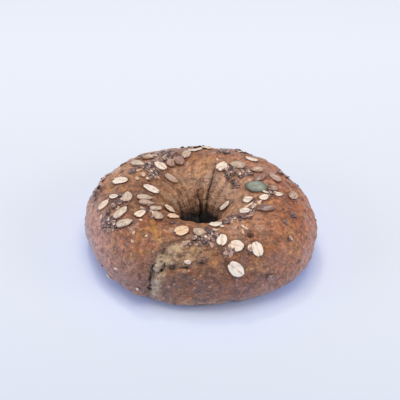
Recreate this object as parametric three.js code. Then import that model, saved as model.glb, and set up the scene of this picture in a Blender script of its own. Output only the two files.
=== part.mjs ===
// A seeded bagel: one ring of baked dough with rolled oats, kernels and seeds stuck to its crust.
// Millimetres. +Z is up, the flat underside stands on z = 0, and X and Y run across the ring.
import * as THREE from 'three';
import { mergeVertices } from 'three/addons/utils/BufferGeometryUtils.js';

// ---- The dough ring: an uneven oval with a small hole that sits off its centre
const MEAN_OUTER_RADIUS = 54.3;
const OVAL_SWELL = 2.1;
const OVAL_TURN = -15;
const THREE_SIDED_SWELL = 0.5;
const THREE_SIDED_TURN = -21;
const FOUR_SIDED_SWELL = 0.6;
const FOUR_SIDED_TURN = -31;
const HOLE_RADIUS = 10;
const HOLE_OFFSET_Y = -3;
const RING_HEIGHT = 34;
const WIDEST_HEIGHT = 15;
const UPPER_ROUNDNESS = 2.0;
const LOWER_ROUNDNESS = 2.4;
const FLATTENED_BY_TRAY = 2;

// ---- The seam: one end of the rolled dough laps over the other, which lies lower and torn
const SEAM_ANGLE_LOW = 242;
const SEAM_ANGLE_TOP = 254;
const SEAM_LEAN_FROM = 40;
const SEAM_LEAN_TO = 76;
const SEAM_DEPTH = 2.2;
const SEAM_STEP_WIDTH = 3;
const SEAM_FADE_WIDTH = 42;
const SEAM_SPREAD_BELOW = 22;
const SEAM_SPREAD_ABOVE = 88;
const SEAM_EDGE_SOFTNESS = 24;

// ---- Pinched creases that run down the wall of the hole: ring angle, from, to, depth, half width
const HOLE_CREASES = [
  { around: 95, overFrom: 125, overTo: 205, depth: 1.4, halfWidth: 5 },
  { around: 142, overFrom: 125, overTo: 200, depth: 1.1, halfWidth: 6 },
  { around: 64, overFrom: 112, overTo: 200, depth: 1.1, halfWidth: 7 },
];

// ---- Mesh fineness: cross-sections round the ring, and points round each one
const RING_COUNT = 96;
const SECTION_COUNT = 36;

// ---- Toppings. Every piece lies this far off the crust, so that no two solids touch
const CRUST_GAP = 0.3;
const OAT_THICKNESS = 0.9;
const OAT_CURL = 0.5;
const OAT_GROOVE_DEPTH = 0.3;
const SUNFLOWER_THICKNESS = 2.0;
const PUMPKIN_THICKNESS = 2.3;
const LINSEED_THICKNESS = 1.1;

// Each row: ring angle, angle over the section, turn on the crust, length, width.
// The ring angle is 0 at +X and 90 at +Y. The section angle is 0 at the outside and 90 on the crest.
// The turn is 0 along the ring and 90 across it.
const OAT_FLAKES = [
  [166, 72, 81, 8.5, 5.5],
  [171, 112, 82, 8.5, 6],
  [132, 96, 85, 8, 5],
  [94, 73, 16, 8, 5],
  [85, 62, 47, 6, 4.5],
  [63, 106, 27, 6, 6],
  [48, 70, 27, 6.5, 4],
  [348, 115, 75, 5.5, 5],
  [325, 110, 75, 7.5, 5],
  [349, 96, 120, 5, 4],
  [355, 79, 112, 4, 2.5],
  [286, 108, 163, 6.5, 6],
  [285, 72, 65, 7, 5],
  [293, 60, 177, 6.5, 6],
  [304, 49, 74, 7.5, 5.5],
  [289, 29, 137, 8.5, 6.5],
  [255, 89, 35, 7.5, 6.5],
  [203, 138, 104, 8, 5],
  [235, 121, 83, 7.5, 5],
  [6, 150, 74, 7, 4],
  [213, 88, 104, 6.5, 5],
  [184, 68, 57, 5, 3.5],
  [187, 52, 107, 6.5, 5],
  [124, 48, 146, 8, 6],
];
const SUNFLOWER_KERNELS = [
  [141, 72, 87, 8.5, 4],
  [129, 71, 139, 7.5, 3.5],
  [103, 88, 59, 7, 4],
  [134, 119, 112, 7, 3.5],
  [112, 99, 85, 6, 4.5],
  [122, 99, 71, 5, 3.5],
  [188, 84, 171, 8, 4.5],
  [192, 104, 86, 7.5, 3.5],
  [201, 104, 77, 7.5, 3.5],
  [212, 112, 97, 7, 3.5],
  [204, 69, 113, 8.5, 4],
  [214, 64, 56, 8, 4],
  [225, 104, 156, 7, 4.5],
  [49, 95, 14, 8, 4.5],
  [31, 86, 42, 6, 3.5],
  [19, 92, 119, 6.5, 4],
  [17, 74, 17, 7, 4.5],
  [3, 84, 21, 5, 3.5],
  [359, 60, 157, 8, 4],
  [334, 89, 116, 8, 4.5],
  [269, 89, 147, 6, 4.5],
];
const PUMPKIN_KERNEL = [6, 102, 53, 11.5, 6.5];
const LINSEEDS = [
  [165, 38, 64, 4.5, 2.3],
  [173, 40, 107, 4.2, 2.2],
  [141, 44, 154, 4.4, 2.3],
  [152, 61, 30, 4.2, 2.2],
  [196, 56, 140, 4.4, 2.3],
  [206, 50, 70, 4.2, 2.2],
  [306, 6, 20, 4.4, 2.4],
  [340, 58, 94, 4.4, 2.4],
  [331, 62, 78, 4.0, 2.2],
  [243, 106, 35, 4.4, 2.3],
  [276, 98, 110, 4.2, 2.2],
];

// ---- Colours
const CRUST_COLOUR = '#a8744a';
const OAT_COLOUR = '#e9dcc3';
const SUNFLOWER_COLOUR = '#a3968a';
const PUMPKIN_COLOUR = '#7c8670';
const LINSEED_COLOUR = '#563a35';

const radians = THREE.MathUtils.degToRad;
const degrees = THREE.MathUtils.radToDeg;
const smooth = THREE.MathUtils.smoothstep;

function wrapDegrees(angle) {
  return THREE.MathUtils.euclideanModulo(angle + 180, 360) - 180;
}

function roundedPower(value, roundness) {
  return Math.sign(value) * Math.abs(value) ** (2 / roundness);
}

// How far the outside of the ring lies from the middle, at one ring angle.
function outerRadius(around) {
  const oval = OVAL_SWELL * Math.cos(radians(2 * (around - OVAL_TURN)));
  const threeSided = THREE_SIDED_SWELL * Math.cos(radians(3 * (around - THREE_SIDED_TURN)));
  const fourSided = FOUR_SIDED_SWELL * Math.cos(radians(4 * (around - FOUR_SIDED_TURN)));
  return MEAN_OUTER_RADIUS + oval + threeSided + fourSided;
}

// How far the wall of the off-centre hole lies from the middle, at one ring angle.
function innerRadius(around) {
  const towardHole = HOLE_OFFSET_Y * Math.sin(radians(around));
  return towardHole + Math.sqrt(towardHole ** 2 - HOLE_OFFSET_Y ** 2 + HOLE_RADIUS ** 2);
}

// A point of the plain ring, before any seam or crease.
function plainRingPoint(around, over) {
  const middle = (outerRadius(around) + innerRadius(around)) / 2;
  const halfWidth = (outerRadius(around) - innerRadius(around)) / 2;
  const across = Math.cos(radians(over));
  const rise = Math.sin(radians(over));
  const upper = rise >= 0;
  const roundness = upper ? UPPER_ROUNDNESS : LOWER_ROUNDNESS;
  const reach = upper ? RING_HEIGHT - WIDEST_HEIGHT : WIDEST_HEIGHT + FLATTENED_BY_TRAY;
  const radius = middle + halfWidth * roundedPower(across, roundness);
  const height = WIDEST_HEIGHT + reach * roundedPower(rise, roundness);
  const x = radius * Math.cos(radians(around));
  const y = radius * Math.sin(radians(around));
  return new THREE.Vector3(x, y, Math.max(height, 0));
}

// The two directions on the crust and the one out of it, with the lengths of one degree.
function crustFrame(around, over) {
  const nudge = 0.1;
  const alongRing = plainRingPoint(around + nudge, over).sub(plainRingPoint(around - nudge, over));
  const overRing = plainRingPoint(around, over + nudge).sub(plainRingPoint(around, over - nudge));
  const outward = alongRing.clone().cross(overRing).normalize();
  const ringDegree = alongRing.length() / (2 * nudge);
  const sectionDegree = overRing.length() / (2 * nudge);
  return { outward, ringDegree, sectionDegree };
}

// Depth of the low, torn dough end beside the seam. It is deepest right at the seam line.
function seamDepth(around, over) {
  const lean = smooth(over, SEAM_LEAN_FROM, SEAM_LEAN_TO);
  const seamAngle = THREE.MathUtils.lerp(SEAM_ANGLE_LOW, SEAM_ANGLE_TOP, lean);
  const past = wrapDegrees(around - seamAngle);
  const step = smooth(past, 0, SEAM_STEP_WIDTH);
  const fade = 1 - smooth(past, SEAM_STEP_WIDTH, SEAM_FADE_WIDTH);
  const above = 1 - smooth(over, SEAM_SPREAD_ABOVE - SEAM_EDGE_SOFTNESS, SEAM_SPREAD_ABOVE);
  const below = smooth(over, -SEAM_SPREAD_BELOW, -SEAM_SPREAD_BELOW + SEAM_EDGE_SOFTNESS);
  return SEAM_DEPTH * step * fade * above * below;
}

// Depth of one pinched crease in the wall of the hole.
function creaseDepth(crease, around, over) {
  const away = wrapDegrees(around - crease.around) / crease.halfWidth;
  const length = crease.overTo - crease.overFrom;
  const along = (over - crease.overFrom) / length;
  const inside = along > 0 && along < 1;
  const taper = inside ? Math.sin(Math.PI * along) : 0;
  return crease.depth * taper * Math.exp(-(away ** 2));
}

// A point of the finished crust, with its seam and creases, lifted by a distance off the surface.
function crustPoint(around, over, lift) {
  const { outward } = crustFrame(around, over);
  const sectionAngle = THREE.MathUtils.euclideanModulo(over, 360);
  const signedAngle = wrapDegrees(over);
  let depth = seamDepth(around, signedAngle);
  for (const crease of HOLE_CREASES) {
    depth += creaseDepth(crease, around, sectionAngle);
  }
  const point = plainRingPoint(around, over).addScaledVector(outward, lift - depth);
  point.z = Math.max(point.z, 0);
  return point;
}

// A closed shape without seams, whose points can then be moved.
function closedForm(geometry) {
  geometry.deleteAttribute('uv');
  geometry.deleteAttribute('normal');
  return mergeVertices(geometry, 1e-4);
}

// The bread starts as a plain torus. Each of its points keeps its two angles and moves to the crust.
function breadGeometry() {
  const geometry = closedForm(new THREE.TorusGeometry(2, 1, SECTION_COUNT, RING_COUNT));
  const position = geometry.getAttribute('position');
  const corner = new THREE.Vector3();
  for (let index = 0; index < position.count; index += 1) {
    corner.fromBufferAttribute(position, index);
    const around = degrees(Math.atan2(corner.y, corner.x));
    const over = degrees(Math.atan2(corner.z, Math.hypot(corner.x, corner.y) - 2));
    const point = crustPoint(around, over, 0);
    position.setXYZ(index, point.x, point.y, point.z);
  }
  return geometry;
}

// Lays a small flat-lying shape on the crust, bent to follow it.
function layOnCrust(row, sides, rings, shapePoint) {
  const [around, over, turn, length, width] = row;
  const { ringDegree, sectionDegree } = crustFrame(around, over);
  const geometry = closedForm(new THREE.SphereGeometry(1, sides, rings).rotateX(Math.PI / 2));
  const position = geometry.getAttribute('position');
  const unit = new THREE.Vector3();
  const cosTurn = Math.cos(radians(turn));
  const sinTurn = Math.sin(radians(turn));
  for (let index = 0; index < position.count; index += 1) {
    unit.fromBufferAttribute(position, index);
    const local = shapePoint(unit, length, width);
    const alongRing = local.x * cosTurn - local.y * sinTurn;
    const overRing = local.x * sinTurn + local.y * cosTurn;
    const pointAround = around + alongRing / ringDegree;
    const pointOver = over + overRing / sectionDegree;
    const point = crustPoint(pointAround, pointOver, local.z + CRUST_GAP);
    position.setXYZ(index, point.x, point.y, point.z);
  }
  return geometry;
}

// A rolled oat: a thin oval flake with blunt edges, curled ends and a groove down its length.
function oatPoint(unit, length, width) {
  const ragged = 1 + 0.05 * Math.sin(5 * Math.atan2(unit.y, unit.x));
  const groove = OAT_GROOVE_DEPTH * Math.exp(-((unit.y / 0.25) ** 2));
  const upperFace = unit.z > 0 ? groove * unit.z : 0;
  const face = (OAT_THICKNESS / 2) * (1 + roundedPower(unit.z, 3));
  const height = face - upperFace + OAT_CURL * unit.x ** 2;
  return new THREE.Vector3((unit.x * ragged * length) / 2, (unit.y * ragged * width) / 2, height);
}

// A kernel: plump, and narrower toward one end by the given share of its width.
function kernelPoint(taper, thickness) {
  return (unit, length, width) => {
    const halfWidth = (width / 2) * (1 - taper * unit.x);
    const height = (thickness / 2) * (1 + unit.z);
    return new THREE.Vector3((unit.x * length) / 2, unit.y * halfWidth, height);
  };
}

function addPiece(group, name, geometry, colour, roughness) {
  geometry.computeVertexNormals();
  const material = new THREE.MeshStandardMaterial({ color: colour, roughness, metalness: 0 });
  const mesh = new THREE.Mesh(geometry, material);
  mesh.name = name;
  group.add(mesh);
}

function addToppings(group, baseName, rows, sides, rings, shapePoint, colour, roughness) {
  rows.forEach((row, index) => {
    const number = String(index + 1).padStart(2, '0');
    const geometry = layOnCrust(row, sides, rings, shapePoint);
    addPiece(group, `${baseName}_${number}`, geometry, colour, roughness);
  });
}

// Puts the middle of the whole object's outline on the Z axis.
function centreOverOrigin(group) {
  const middle = new THREE.Box3().setFromObject(group, true).getCenter(new THREE.Vector3());
  for (const mesh of group.children) {
    mesh.geometry.translate(-middle.x, -middle.y, 0);
  }
}

const group = new THREE.Group();
group.name = 'seeded_bagel';
addPiece(group, 'bread_ring', breadGeometry(), CRUST_COLOUR, 0.75);
addToppings(group, 'oat_flake', OAT_FLAKES, 14, 5, oatPoint, OAT_COLOUR, 0.85);
const sunflowerPoint = kernelPoint(0.3, SUNFLOWER_THICKNESS);
addToppings(group, 'sunflower_kernel', SUNFLOWER_KERNELS, 10, 6, sunflowerPoint, SUNFLOWER_COLOUR, 0.6);
const pumpkinGeometry = layOnCrust(PUMPKIN_KERNEL, 14, 7, kernelPoint(0.15, PUMPKIN_THICKNESS));
addPiece(group, 'pumpkin_kernel', pumpkinGeometry, PUMPKIN_COLOUR, 0.55);
const linseedPoint = kernelPoint(0.35, LINSEED_THICKNESS);
addToppings(group, 'linseed', LINSEEDS, 8, 5, linseedPoint, LINSEED_COLOUR, 0.35);
centreOverOrigin(group);

export default group;
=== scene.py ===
# %% [markdown]
# # A seeded bagel
#
# A bagel is a rope of dough whose ends are lapped into a ring, boiled for a moment and baked on a
# tray. The boiling gives it a thin, tight, slightly shiny crust. Before it is baked it is strewn with
# rolled oats, kernels and linseeds, which sink a little into the soft skin.
#
# Lengths are in metres, except where a comment says that they are in millimetres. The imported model
# gives each piece its place.

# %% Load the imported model
import math
import random

import bpy
import numpy as np
from mathutils import Matrix, Vector, noise
from mathutils.bvhtree import BVHTree


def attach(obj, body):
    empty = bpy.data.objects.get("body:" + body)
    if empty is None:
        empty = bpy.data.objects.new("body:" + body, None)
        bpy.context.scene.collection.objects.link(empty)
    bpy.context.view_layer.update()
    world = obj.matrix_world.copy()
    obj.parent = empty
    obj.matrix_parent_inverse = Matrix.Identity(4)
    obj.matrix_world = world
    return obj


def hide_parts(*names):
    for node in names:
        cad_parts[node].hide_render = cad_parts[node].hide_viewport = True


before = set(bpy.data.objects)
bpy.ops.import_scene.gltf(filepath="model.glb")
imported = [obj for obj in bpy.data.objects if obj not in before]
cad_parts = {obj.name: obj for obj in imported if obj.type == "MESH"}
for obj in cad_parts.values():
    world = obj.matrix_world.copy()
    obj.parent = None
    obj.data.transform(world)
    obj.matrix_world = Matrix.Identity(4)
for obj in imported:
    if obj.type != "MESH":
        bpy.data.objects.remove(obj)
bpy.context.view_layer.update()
MM = 0.001

# %% [markdown]
# ## Helpers for materials
#
# Colours are easy to read as the hex values of a paint chart, but a shader wants linear numbers, so
# one function turns one into the other. A second one adds any node. Its settings name the node's
# properties and sockets, its values fill the sockets in their order, and wherever a value is another
# node's output, the two are linked. It gives back one output, ready for the next node. The shader
# editor does the same by hand, but a written list is easier to change and to read again.

# %% Colour and node helpers
def linear(hex_colour):
    """Turns an sRGB hex colour into linear red, green, blue and a full alpha."""
    channels = [int(hex_colour[start:start + 2], 16) / 255 for start in (1, 3, 5)]
    curved = [c / 12.92 if c <= 0.04045 else ((c + 0.055) / 1.055) ** 2.4 for c in channels]
    return (*curved, 1.0)


def add_node(material, kind, settings=None, values=(), output=0):
    """Adds a node, sets or links its settings and values, and returns one of its outputs."""
    tree = material.node_tree
    node = tree.nodes.new("ShaderNode" + kind)
    for key, value in [*(settings or {}).items(), *enumerate(values)]:
        if isinstance(value, bpy.types.NodeSocket):
            tree.links.new(value, node.inputs[key])
        elif isinstance(key, int) or key in node.inputs:
            node.inputs[key].default_value = value
        else:
            setattr(node, key, value)
    return node.outputs[output] if node.outputs else node


def new_material(name):
    """An empty node material."""
    material = bpy.data.materials.new(name)
    material.use_nodes = True
    material.node_tree.nodes.clear()
    return material


# A Mix node has sockets for numbers, vectors and colours: these are the ones for colours.
FACTOR, FIRST, SECOND, MIXED = 0, 6, 7, 2
MIX = {"data_type": "RGBA"}
SHADE = {"data_type": "RGBA", "blend_type": "MULTIPLY"}
MULTIPLY, ADD = {"operation": "MULTIPLY"}, {"operation": "ADD"}
print("baked crust brown in linear numbers", [round(value, 3) for value in linear("#bd6a1f")])

# %% [markdown]
# ## The camera
#
# It stands in front of the bagel and looks down on it at 37 degrees from 0.7 m away, with a long lens,
# so the ring is hardly drawn together toward the back. It aims a little above the bread, which leaves
# more room over the bagel than under it.

# %% Camera
CAMERA_TARGET = Vector((-0.0003, -0.0004, 0.014))
CAMERA_ELEVATION = math.radians(37)
CAMERA_DISTANCE = 0.7
CAMERA_LENS = 129.3
SENSOR_WIDTH = 36
AIM_ABOVE = 0.0118

toward_camera = Vector((0, -math.cos(CAMERA_ELEVATION), math.sin(CAMERA_ELEVATION)))
picture_up = Vector((0, math.sin(CAMERA_ELEVATION), math.cos(CAMERA_ELEVATION)))
bpy.ops.object.camera_add(location=CAMERA_TARGET + toward_camera * CAMERA_DISTANCE)
camera = bpy.context.object
camera.name = "camera"
camera.data.lens = CAMERA_LENS
camera.data.sensor_width = SENSOR_WIDTH
aim = CAMERA_TARGET + picture_up * AIM_ABOVE - camera.location
camera.rotation_euler = aim.to_track_quat("-Z", "Y").to_euler()
bpy.context.scene.camera = camera
print("camera at", [round(value, 3) for value in camera.location])

# %% [markdown]
# ## The shape of the dough ring
#
# The ring is an uneven oval with a small hole off its centre. A point of its crust has two angles:
# `around` the ring, 0 at +X and 90 at +Y, and `over` the rope of dough, 0 at the outside, 90 on the
# crest, 180 at the wall of the hole and -90 underneath, where the tray pressed the dough flat.
# These are the same rules as those of the solid model, so the crust fits it.

# %% Helpers for angles in degrees
def cosine(degrees):
    return np.cos(np.radians(degrees))


def sine(degrees):
    return np.sin(np.radians(degrees))


def turned(degrees):
    """Brings angles into the range from -180 to 180."""
    return (np.asarray(degrees) + 180) % 360 - 180


def soft_step(values, start, end):
    """0 before start, 1 after end, and a smooth rise between them."""
    share = np.clip((np.asarray(values, dtype=float) - start) / (end - start), 0, 1)
    return share * share * (3 - 2 * share)


print("half way up a soft step", float(soft_step(0.5, 0, 1)))

# %% Ring shape
RING_HEIGHT = 0.034
WIDEST_HEIGHT = 0.015
PRESSED_FLAT = 0.002
HOLE_RADIUS = 0.010
HOLE_OFFSET = -0.003
MEAN_RADIUS_MM = 54.3
UPPER_ROUNDNESS, LOWER_ROUNDNESS = 2.0, 2.4
OUTLINE_STEP = 3.75


def outer_radius(around):
    """The outline, an oval that is a little three-sided and four-sided too, in mm made metres."""
    oval = 2.1 * cosine(2 * (around + 15))
    three_sided = 0.5 * cosine(3 * (around + 21))
    four_sided = 0.6 * cosine(4 * (around + 31))
    return (MEAN_RADIUS_MM + oval + three_sided + four_sided) * MM


def inner_radius(around):
    """The round hole, seen from the middle of the ring, from which it is off centre."""
    toward_hole = HOLE_OFFSET * sine(around)
    return toward_hole + np.sqrt(toward_hole ** 2 - HOLE_OFFSET ** 2 + HOLE_RADIUS ** 2)


def rounded(values, roundness):
    """Swells a circle toward a square: 2 leaves it round, and more makes it squarer."""
    return np.sign(values) * np.abs(values) ** (2 / roundness)


outline_angles = np.arange(0, 360, OUTLINE_STEP)
outline = outer_radius(outline_angles)
outline_x, outline_y = outline * cosine(outline_angles), outline * sine(outline_angles)
RING_MIDDLE = np.array([
    np.ptp(outline_x) / 2 - outline_x.max(), np.ptp(outline_y) / 2 - outline_y.max(), 0])


def ring_points(around, over):
    """Points of the plain ring, one row each, before the dough gets its seam and creases."""
    around, over = np.asarray(around, dtype=float), np.asarray(over, dtype=float)
    middle = (outer_radius(around) + inner_radius(around)) / 2
    half_width = (outer_radius(around) - inner_radius(around)) / 2
    upper = sine(over) >= 0
    roundness = np.where(upper, UPPER_ROUNDNESS, LOWER_ROUNDNESS)
    reach = np.where(upper, RING_HEIGHT - WIDEST_HEIGHT, WIDEST_HEIGHT + PRESSED_FLAT)
    radius = middle + half_width * rounded(cosine(over), roundness)
    height = WIDEST_HEIGHT + reach * rounded(sine(over), roundness)
    flat = np.stack([radius * cosine(around), radius * sine(around), np.maximum(height, 0)], axis=-1)
    return flat + RING_MIDDLE


print("ring middle in mm", np.round(RING_MIDDLE / MM, 2))

# %% [markdown]
# ## The bread: a torus moulded into the ring
#
# A baker starts from a plain ring, and so does this: Blender's torus, fine enough that a cell is about
# two thirds of a millimetre. Its points are then moved onto the ring's shape by their two angles, which
# no transform operator could do, because the hole is off centre and the base is flat. Sculpting starts
# from a mesh this fine because a relief of tenths of a millimetre has to come from the mesh itself.

# %% Torus and moulding
RING_CELLS = 480
ROPE_CELLS = 180
ROUGH_MAJOR = 0.032
ROUGH_MINOR = 0.022

bpy.ops.object.select_all(action="DESELECT")
bpy.ops.mesh.primitive_torus_add(
    major_segments=RING_CELLS, minor_segments=ROPE_CELLS,
    major_radius=ROUGH_MAJOR, minor_radius=ROUGH_MINOR)
bread = bpy.context.object
bread.name = "baked_bread"
bread.data.name = "baked_bread"


def read_points(mesh, kind="co"):
    """The mesh's corners, or their normals, as rows of three numbers."""
    source = mesh.vertices if kind == "co" else mesh.vertex_normals
    values = np.empty(len(mesh.vertices) * 3)
    source.foreach_get("co" if kind == "co" else "vector", values)
    return values.reshape(-1, 3)


def write_points(mesh, points):
    """Moves the mesh's corners to new places."""
    mesh.vertices.foreach_set("co", points.ravel())
    mesh.update()


# Both angles of every point of the crust are kept, because all that follows is placed by them.
rough = read_points(bread.data)
AROUND = np.degrees(np.arctan2(rough[:, 1], rough[:, 0])) % 360
OVER = np.degrees(np.arctan2(rough[:, 2], np.hypot(rough[:, 0], rough[:, 1]) - ROUGH_MAJOR))
write_points(bread.data, ring_points(AROUND, OVER))
RADIUS = np.hypot(*(read_points(bread.data) - RING_MIDDLE)[:, :2].T)
print("bread has", len(bread.data.polygons), "cells")

# %% [markdown]
# ## Soft unevenness
#
# No hand-rolled rope of dough is even. Two Displace modifiers, one with clouds of 20 mm and one with
# clouds of 7.5 mm, swell and sink the ring by up to a millimetre. Each is applied at once, so that what
# follows is sculpted on the uneven ring.

# %% Uneven dough
def displace(target, name, pattern_size, strength, depth):
    """Pushes the surface in and out by a cloud pattern of a given size, and applies it."""
    clouds = bpy.data.textures.new(name, "CLOUDS")
    clouds.noise_scale = pattern_size
    clouds.noise_depth = depth
    modifier = target.modifiers.new(name, "DISPLACE")
    modifier.texture = clouds
    modifier.texture_coords = "LOCAL"
    modifier.strength = strength
    modifier.mid_level = 0.5
    bpy.context.view_layer.objects.active = target
    bpy.ops.object.modifier_apply(modifier=name)
    print("displaced", target.name, "by", name)


displace(bread, "uneven_dough", 0.020, 0.0022, 1)
displace(bread, "small_lumps", 0.0075, 0.0016, 1)

# %% [markdown]
# ## The lapped seam and the torn dough beside it
#
# One end of the rope lies over the other. The upper end has a swollen rounded lip. Under it the lower
# end has dried, stretched and torn in the oven: it lies lower, it is rough and stringy, and a long
# fissure runs through it. The two lines below say where the lip and the fissure run. The surface is
# then pushed along its normals, which is what a sculpting brush does. Heights are in millimetres.

# %% Seam, lip and fissure
def pattern(points, size, octaves=3):
    """A cloud pattern between about -1 and 1, whose lumps have the given size."""
    scaled = points / np.asarray(size)
    return np.array([noise.fractal(Vector(point), 1.0, 2.0, octaves) for point in scaled])


def hill(distance, half_width, power=2):
    """1 in the middle of a hill, falling smoothly to 0 on both sides; a higher power makes it flatter."""
    return np.exp(-(distance / half_width) ** power)


SEAM_OVERS = [-30, 0, 26, 37, 51, 64, 73, 84]
SEAM_AROUNDS = [241, 241.8, 242.8, 243.2, 245.2, 248.3, 253.8, 261]
FISSURE_AROUNDS = [243, 247, 250, 256, 265, 273, 278, 284]
FISSURE_OVERS = [12, 18, 27, 29, 35, 42, 50, 60]
LIP_HEIGHT, STEP_DEPTH, CREVICE_DEPTH = 1.3, 2.3, 1.3
# The lip and the step are both lower by this where the seam runs out on the crest.
LOWER_ON_CREST = 0.4
FISSURE_DEPTH, LOWER_LIP_HEIGHT = 1.7, 1.3

skin = read_points(bread.data)
raggedness = pattern(skin, 0.004)
seam_around = np.interp(OVER, SEAM_OVERS, SEAM_AROUNDS) + 1.2 * raggedness
PAST_SEAM = turned(AROUND - seam_around)
along_seam = soft_step(OVER, -38, -16) * (1 - soft_step(OVER, 70, 86))
up_the_seam = soft_step(OVER, 28, 52)
lip = (LIP_HEIGHT - LOWER_ON_CREST * up_the_seam) * hill(PAST_SEAM + 6, 6) * (PAST_SEAM < 4)
step = soft_step(PAST_SEAM, -0.8 - 0.6 * up_the_seam, 1.6 + 1.6 * up_the_seam)
step *= -(STEP_DEPTH - LOWER_ON_CREST * up_the_seam) * (1 - soft_step(PAST_SEAM, 5, 40))
crevice = -CREVICE_DEPTH * (1 - up_the_seam) * hill(PAST_SEAM - 1.4, 1.1)
seam_relief = along_seam * (lip + step + crevice)

fissure_over = np.interp(AROUND, FISSURE_AROUNDS, FISSURE_OVERS) + 2.0 * raggedness
ABOVE_FISSURE = OVER - fissure_over
fissure_length = soft_step(AROUND, 243, 248) * (1 - soft_step(AROUND, 276, 287))
broken = 0.55 + 0.45 * np.clip(2.5 * pattern(skin, 0.006, 2), -1, 1)
fissure = -FISSURE_DEPTH * broken * hill(ABOVE_FISSURE, 3.2)
lower_lip = LOWER_LIP_HEIGHT * hill(ABOVE_FISSURE + 9, 7)
fissure_relief = fissure_length * (fissure + lower_lip)
print("deepest seam in mm", round(float(seam_relief.min()), 2))

# %% [markdown]
# ## Torn strands
#
# Torn dough is stringy: its gluten breaks in strands that run the way the fissure does. So the pattern of
# the strands is stretched along that way. Rounded lumps and a few crooked rips lie over it.

# %% Torn strands, lumps and rips
STRAND_HEIGHT, LUMP_HEIGHT, RIP_DEPTH = 0.4, 1.1, 1.0
STRAND_SLOPE = math.radians(23)
TORN_MIDDLE_AROUND, TORN_MIDDLE_OVER = 262, 50
# How many millimetres one degree is there, along the ring and over the rope.
MM_PER_RING_DEGREE, MM_PER_ROPE_DEGREE = 0.85, 0.37
ring_way = turned(AROUND - TORN_MIDDLE_AROUND) * MM_PER_RING_DEGREE * MM
rope_way = (OVER - TORN_MIDDLE_OVER) * MM_PER_ROPE_DEGREE * MM
along = ring_way * math.cos(STRAND_SLOPE) + rope_way * math.sin(STRAND_SLOPE)
across = rope_way * math.cos(STRAND_SLOPE) - ring_way * math.sin(STRAND_SLOPE)
strand_places = np.stack([along, across, np.zeros_like(along)], axis=-1)
strands = pattern(strand_places, (0.007, 0.0016, 1.0), 4)

beside_seam = soft_step(PAST_SEAM, 0, 2)
patch = beside_seam * (1 - soft_step(PAST_SEAM, 19, 31)) * soft_step(ABOVE_FISSURE, -2, 3)
patch *= (1 - soft_step(OVER + 9 * raggedness, 66, 82)) * (1 - 0.5 * soft_step(PAST_SEAM, 8, 20))
frayed = beside_seam * (1 - soft_step(PAST_SEAM + 6 * raggedness, 4, 10)) * soft_step(OVER, -34, -20)
frayed *= 1 - soft_step(OVER, 30, 44)
TORN = np.clip(np.maximum(patch, frayed), 0, 1)
lumps = pattern(skin, 0.0034, 3)
rip_lines = pattern(skin + [0.03, 0, 0], (0.0060, 0.0042, 0.0042), 2)
RIPS = TORN * hill(rip_lines, 0.05) * soft_step(pattern(skin, 0.007, 1), -0.05, 0.15)
torn_relief = TORN * (STRAND_HEIGHT * strands + LUMP_HEIGHT * lumps) - RIP_DEPTH * RIPS
print("torn share of the skin", round(float(TORN.mean()), 3))

# %% [markdown]
# ## Folds that run into the hole
#
# When the rope is bent into a ring, the dough crowds together on the inside and folds. Each fold is a
# line from the crest down the wall of the hole, narrow and dark at its bottom. Between the main folds
# the whole wall is finely pleated. The main folds are placed one by one, and the pleats are a pattern
# that is stretched along the rope.

# %% Hole folds
# Each fold: angles over the rope, matching ring angles, depth and half width in millimetres.
HOLE_FOLDS = [
    ([88, 105, 118, 132, 156, 190], [76, 73, 70, 68, 69, 68], 1.0, 0.8),
    ([124, 138, 150, 162, 190], [92.5, 93.2, 95.9, 90, 84], 1.1, 0.8),
    ([130, 144, 154, 166, 190], [133, 140, 147, 160, 164], 0.8, 0.7),
    ([126, 150, 200], [112, 114, 118], 0.4, 0.8),
    ([130, 160, 200], [80, 80, 82], 0.4, 0.8),
    ([112, 150, 200], [20, 12, 8], 0.6, 0.9),
    ([120, 150, 200], [318, 316, 312], 0.6, 0.9),
    ([125, 155, 200], [228, 222, 215], 0.6, 0.9),
]
# Distances to a crease are counted in half widths of its dark line, and this one is far from any.
FAR_GAP = 9.0
FOLD_LINE_HALF_WIDTH = 0.38
rope_angle = OVER % 360
fold_relief = np.zeros_like(OVER)
fold_gap = np.full_like(OVER, FAR_GAP)
for fold_overs, fold_arounds, depth, half_width in HOLE_FOLDS:
    fold_line = np.interp(rope_angle, fold_overs, fold_arounds)
    distance = np.radians(turned(AROUND - fold_line)) * RADIUS / MM
    length = soft_step(rope_angle, fold_overs[0], fold_overs[0] + 25)
    length *= 1 - soft_step(rope_angle, 205, 240)
    fold_relief -= depth * length * hill(distance, half_width)
    line_gap = np.abs(distance) / FOLD_LINE_HALF_WIDTH + 4 * (1 - length * min(depth, 1.0))
    fold_gap = np.minimum(fold_gap, line_gap)
print("deepest fold in mm", round(float(fold_relief.min()), 2))

# %% Pleats of the wall
BROAD_PLEAT_HEIGHT, FINE_PLEAT_HEIGHT = 0.16, 0.09
in_hole = soft_step(rope_angle, 105, 140) * (1 - soft_step(rope_angle, 215, 245))
broad_places = np.stack([cosine(AROUND) * 3.2, sine(AROUND) * 3.2, OVER / 160], axis=-1)
fine_places = np.stack([cosine(AROUND) * 9, sine(AROUND) * 9, OVER / 90], axis=-1)
wall_lines = in_hole * pattern(fine_places, 1.0, 2)
pleats = BROAD_PLEAT_HEIGHT * in_hole * pattern(broad_places, 1.0, 3) + FINE_PLEAT_HEIGHT * wall_lines
print("highest pleat in mm", round(float(pleats.max()), 2))

# %% [markdown]
# ## Seed beds and buried seeds
#
# Where seeds lie thick the crust is lumpy under them, and a seed that sank into the dough leaves a low
# blister. The seeds could be pressed in afterwards, one by one, but it is simpler to write down once
# where they lie. The same lists then raise the crust here and lay the seeds further below.

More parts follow.
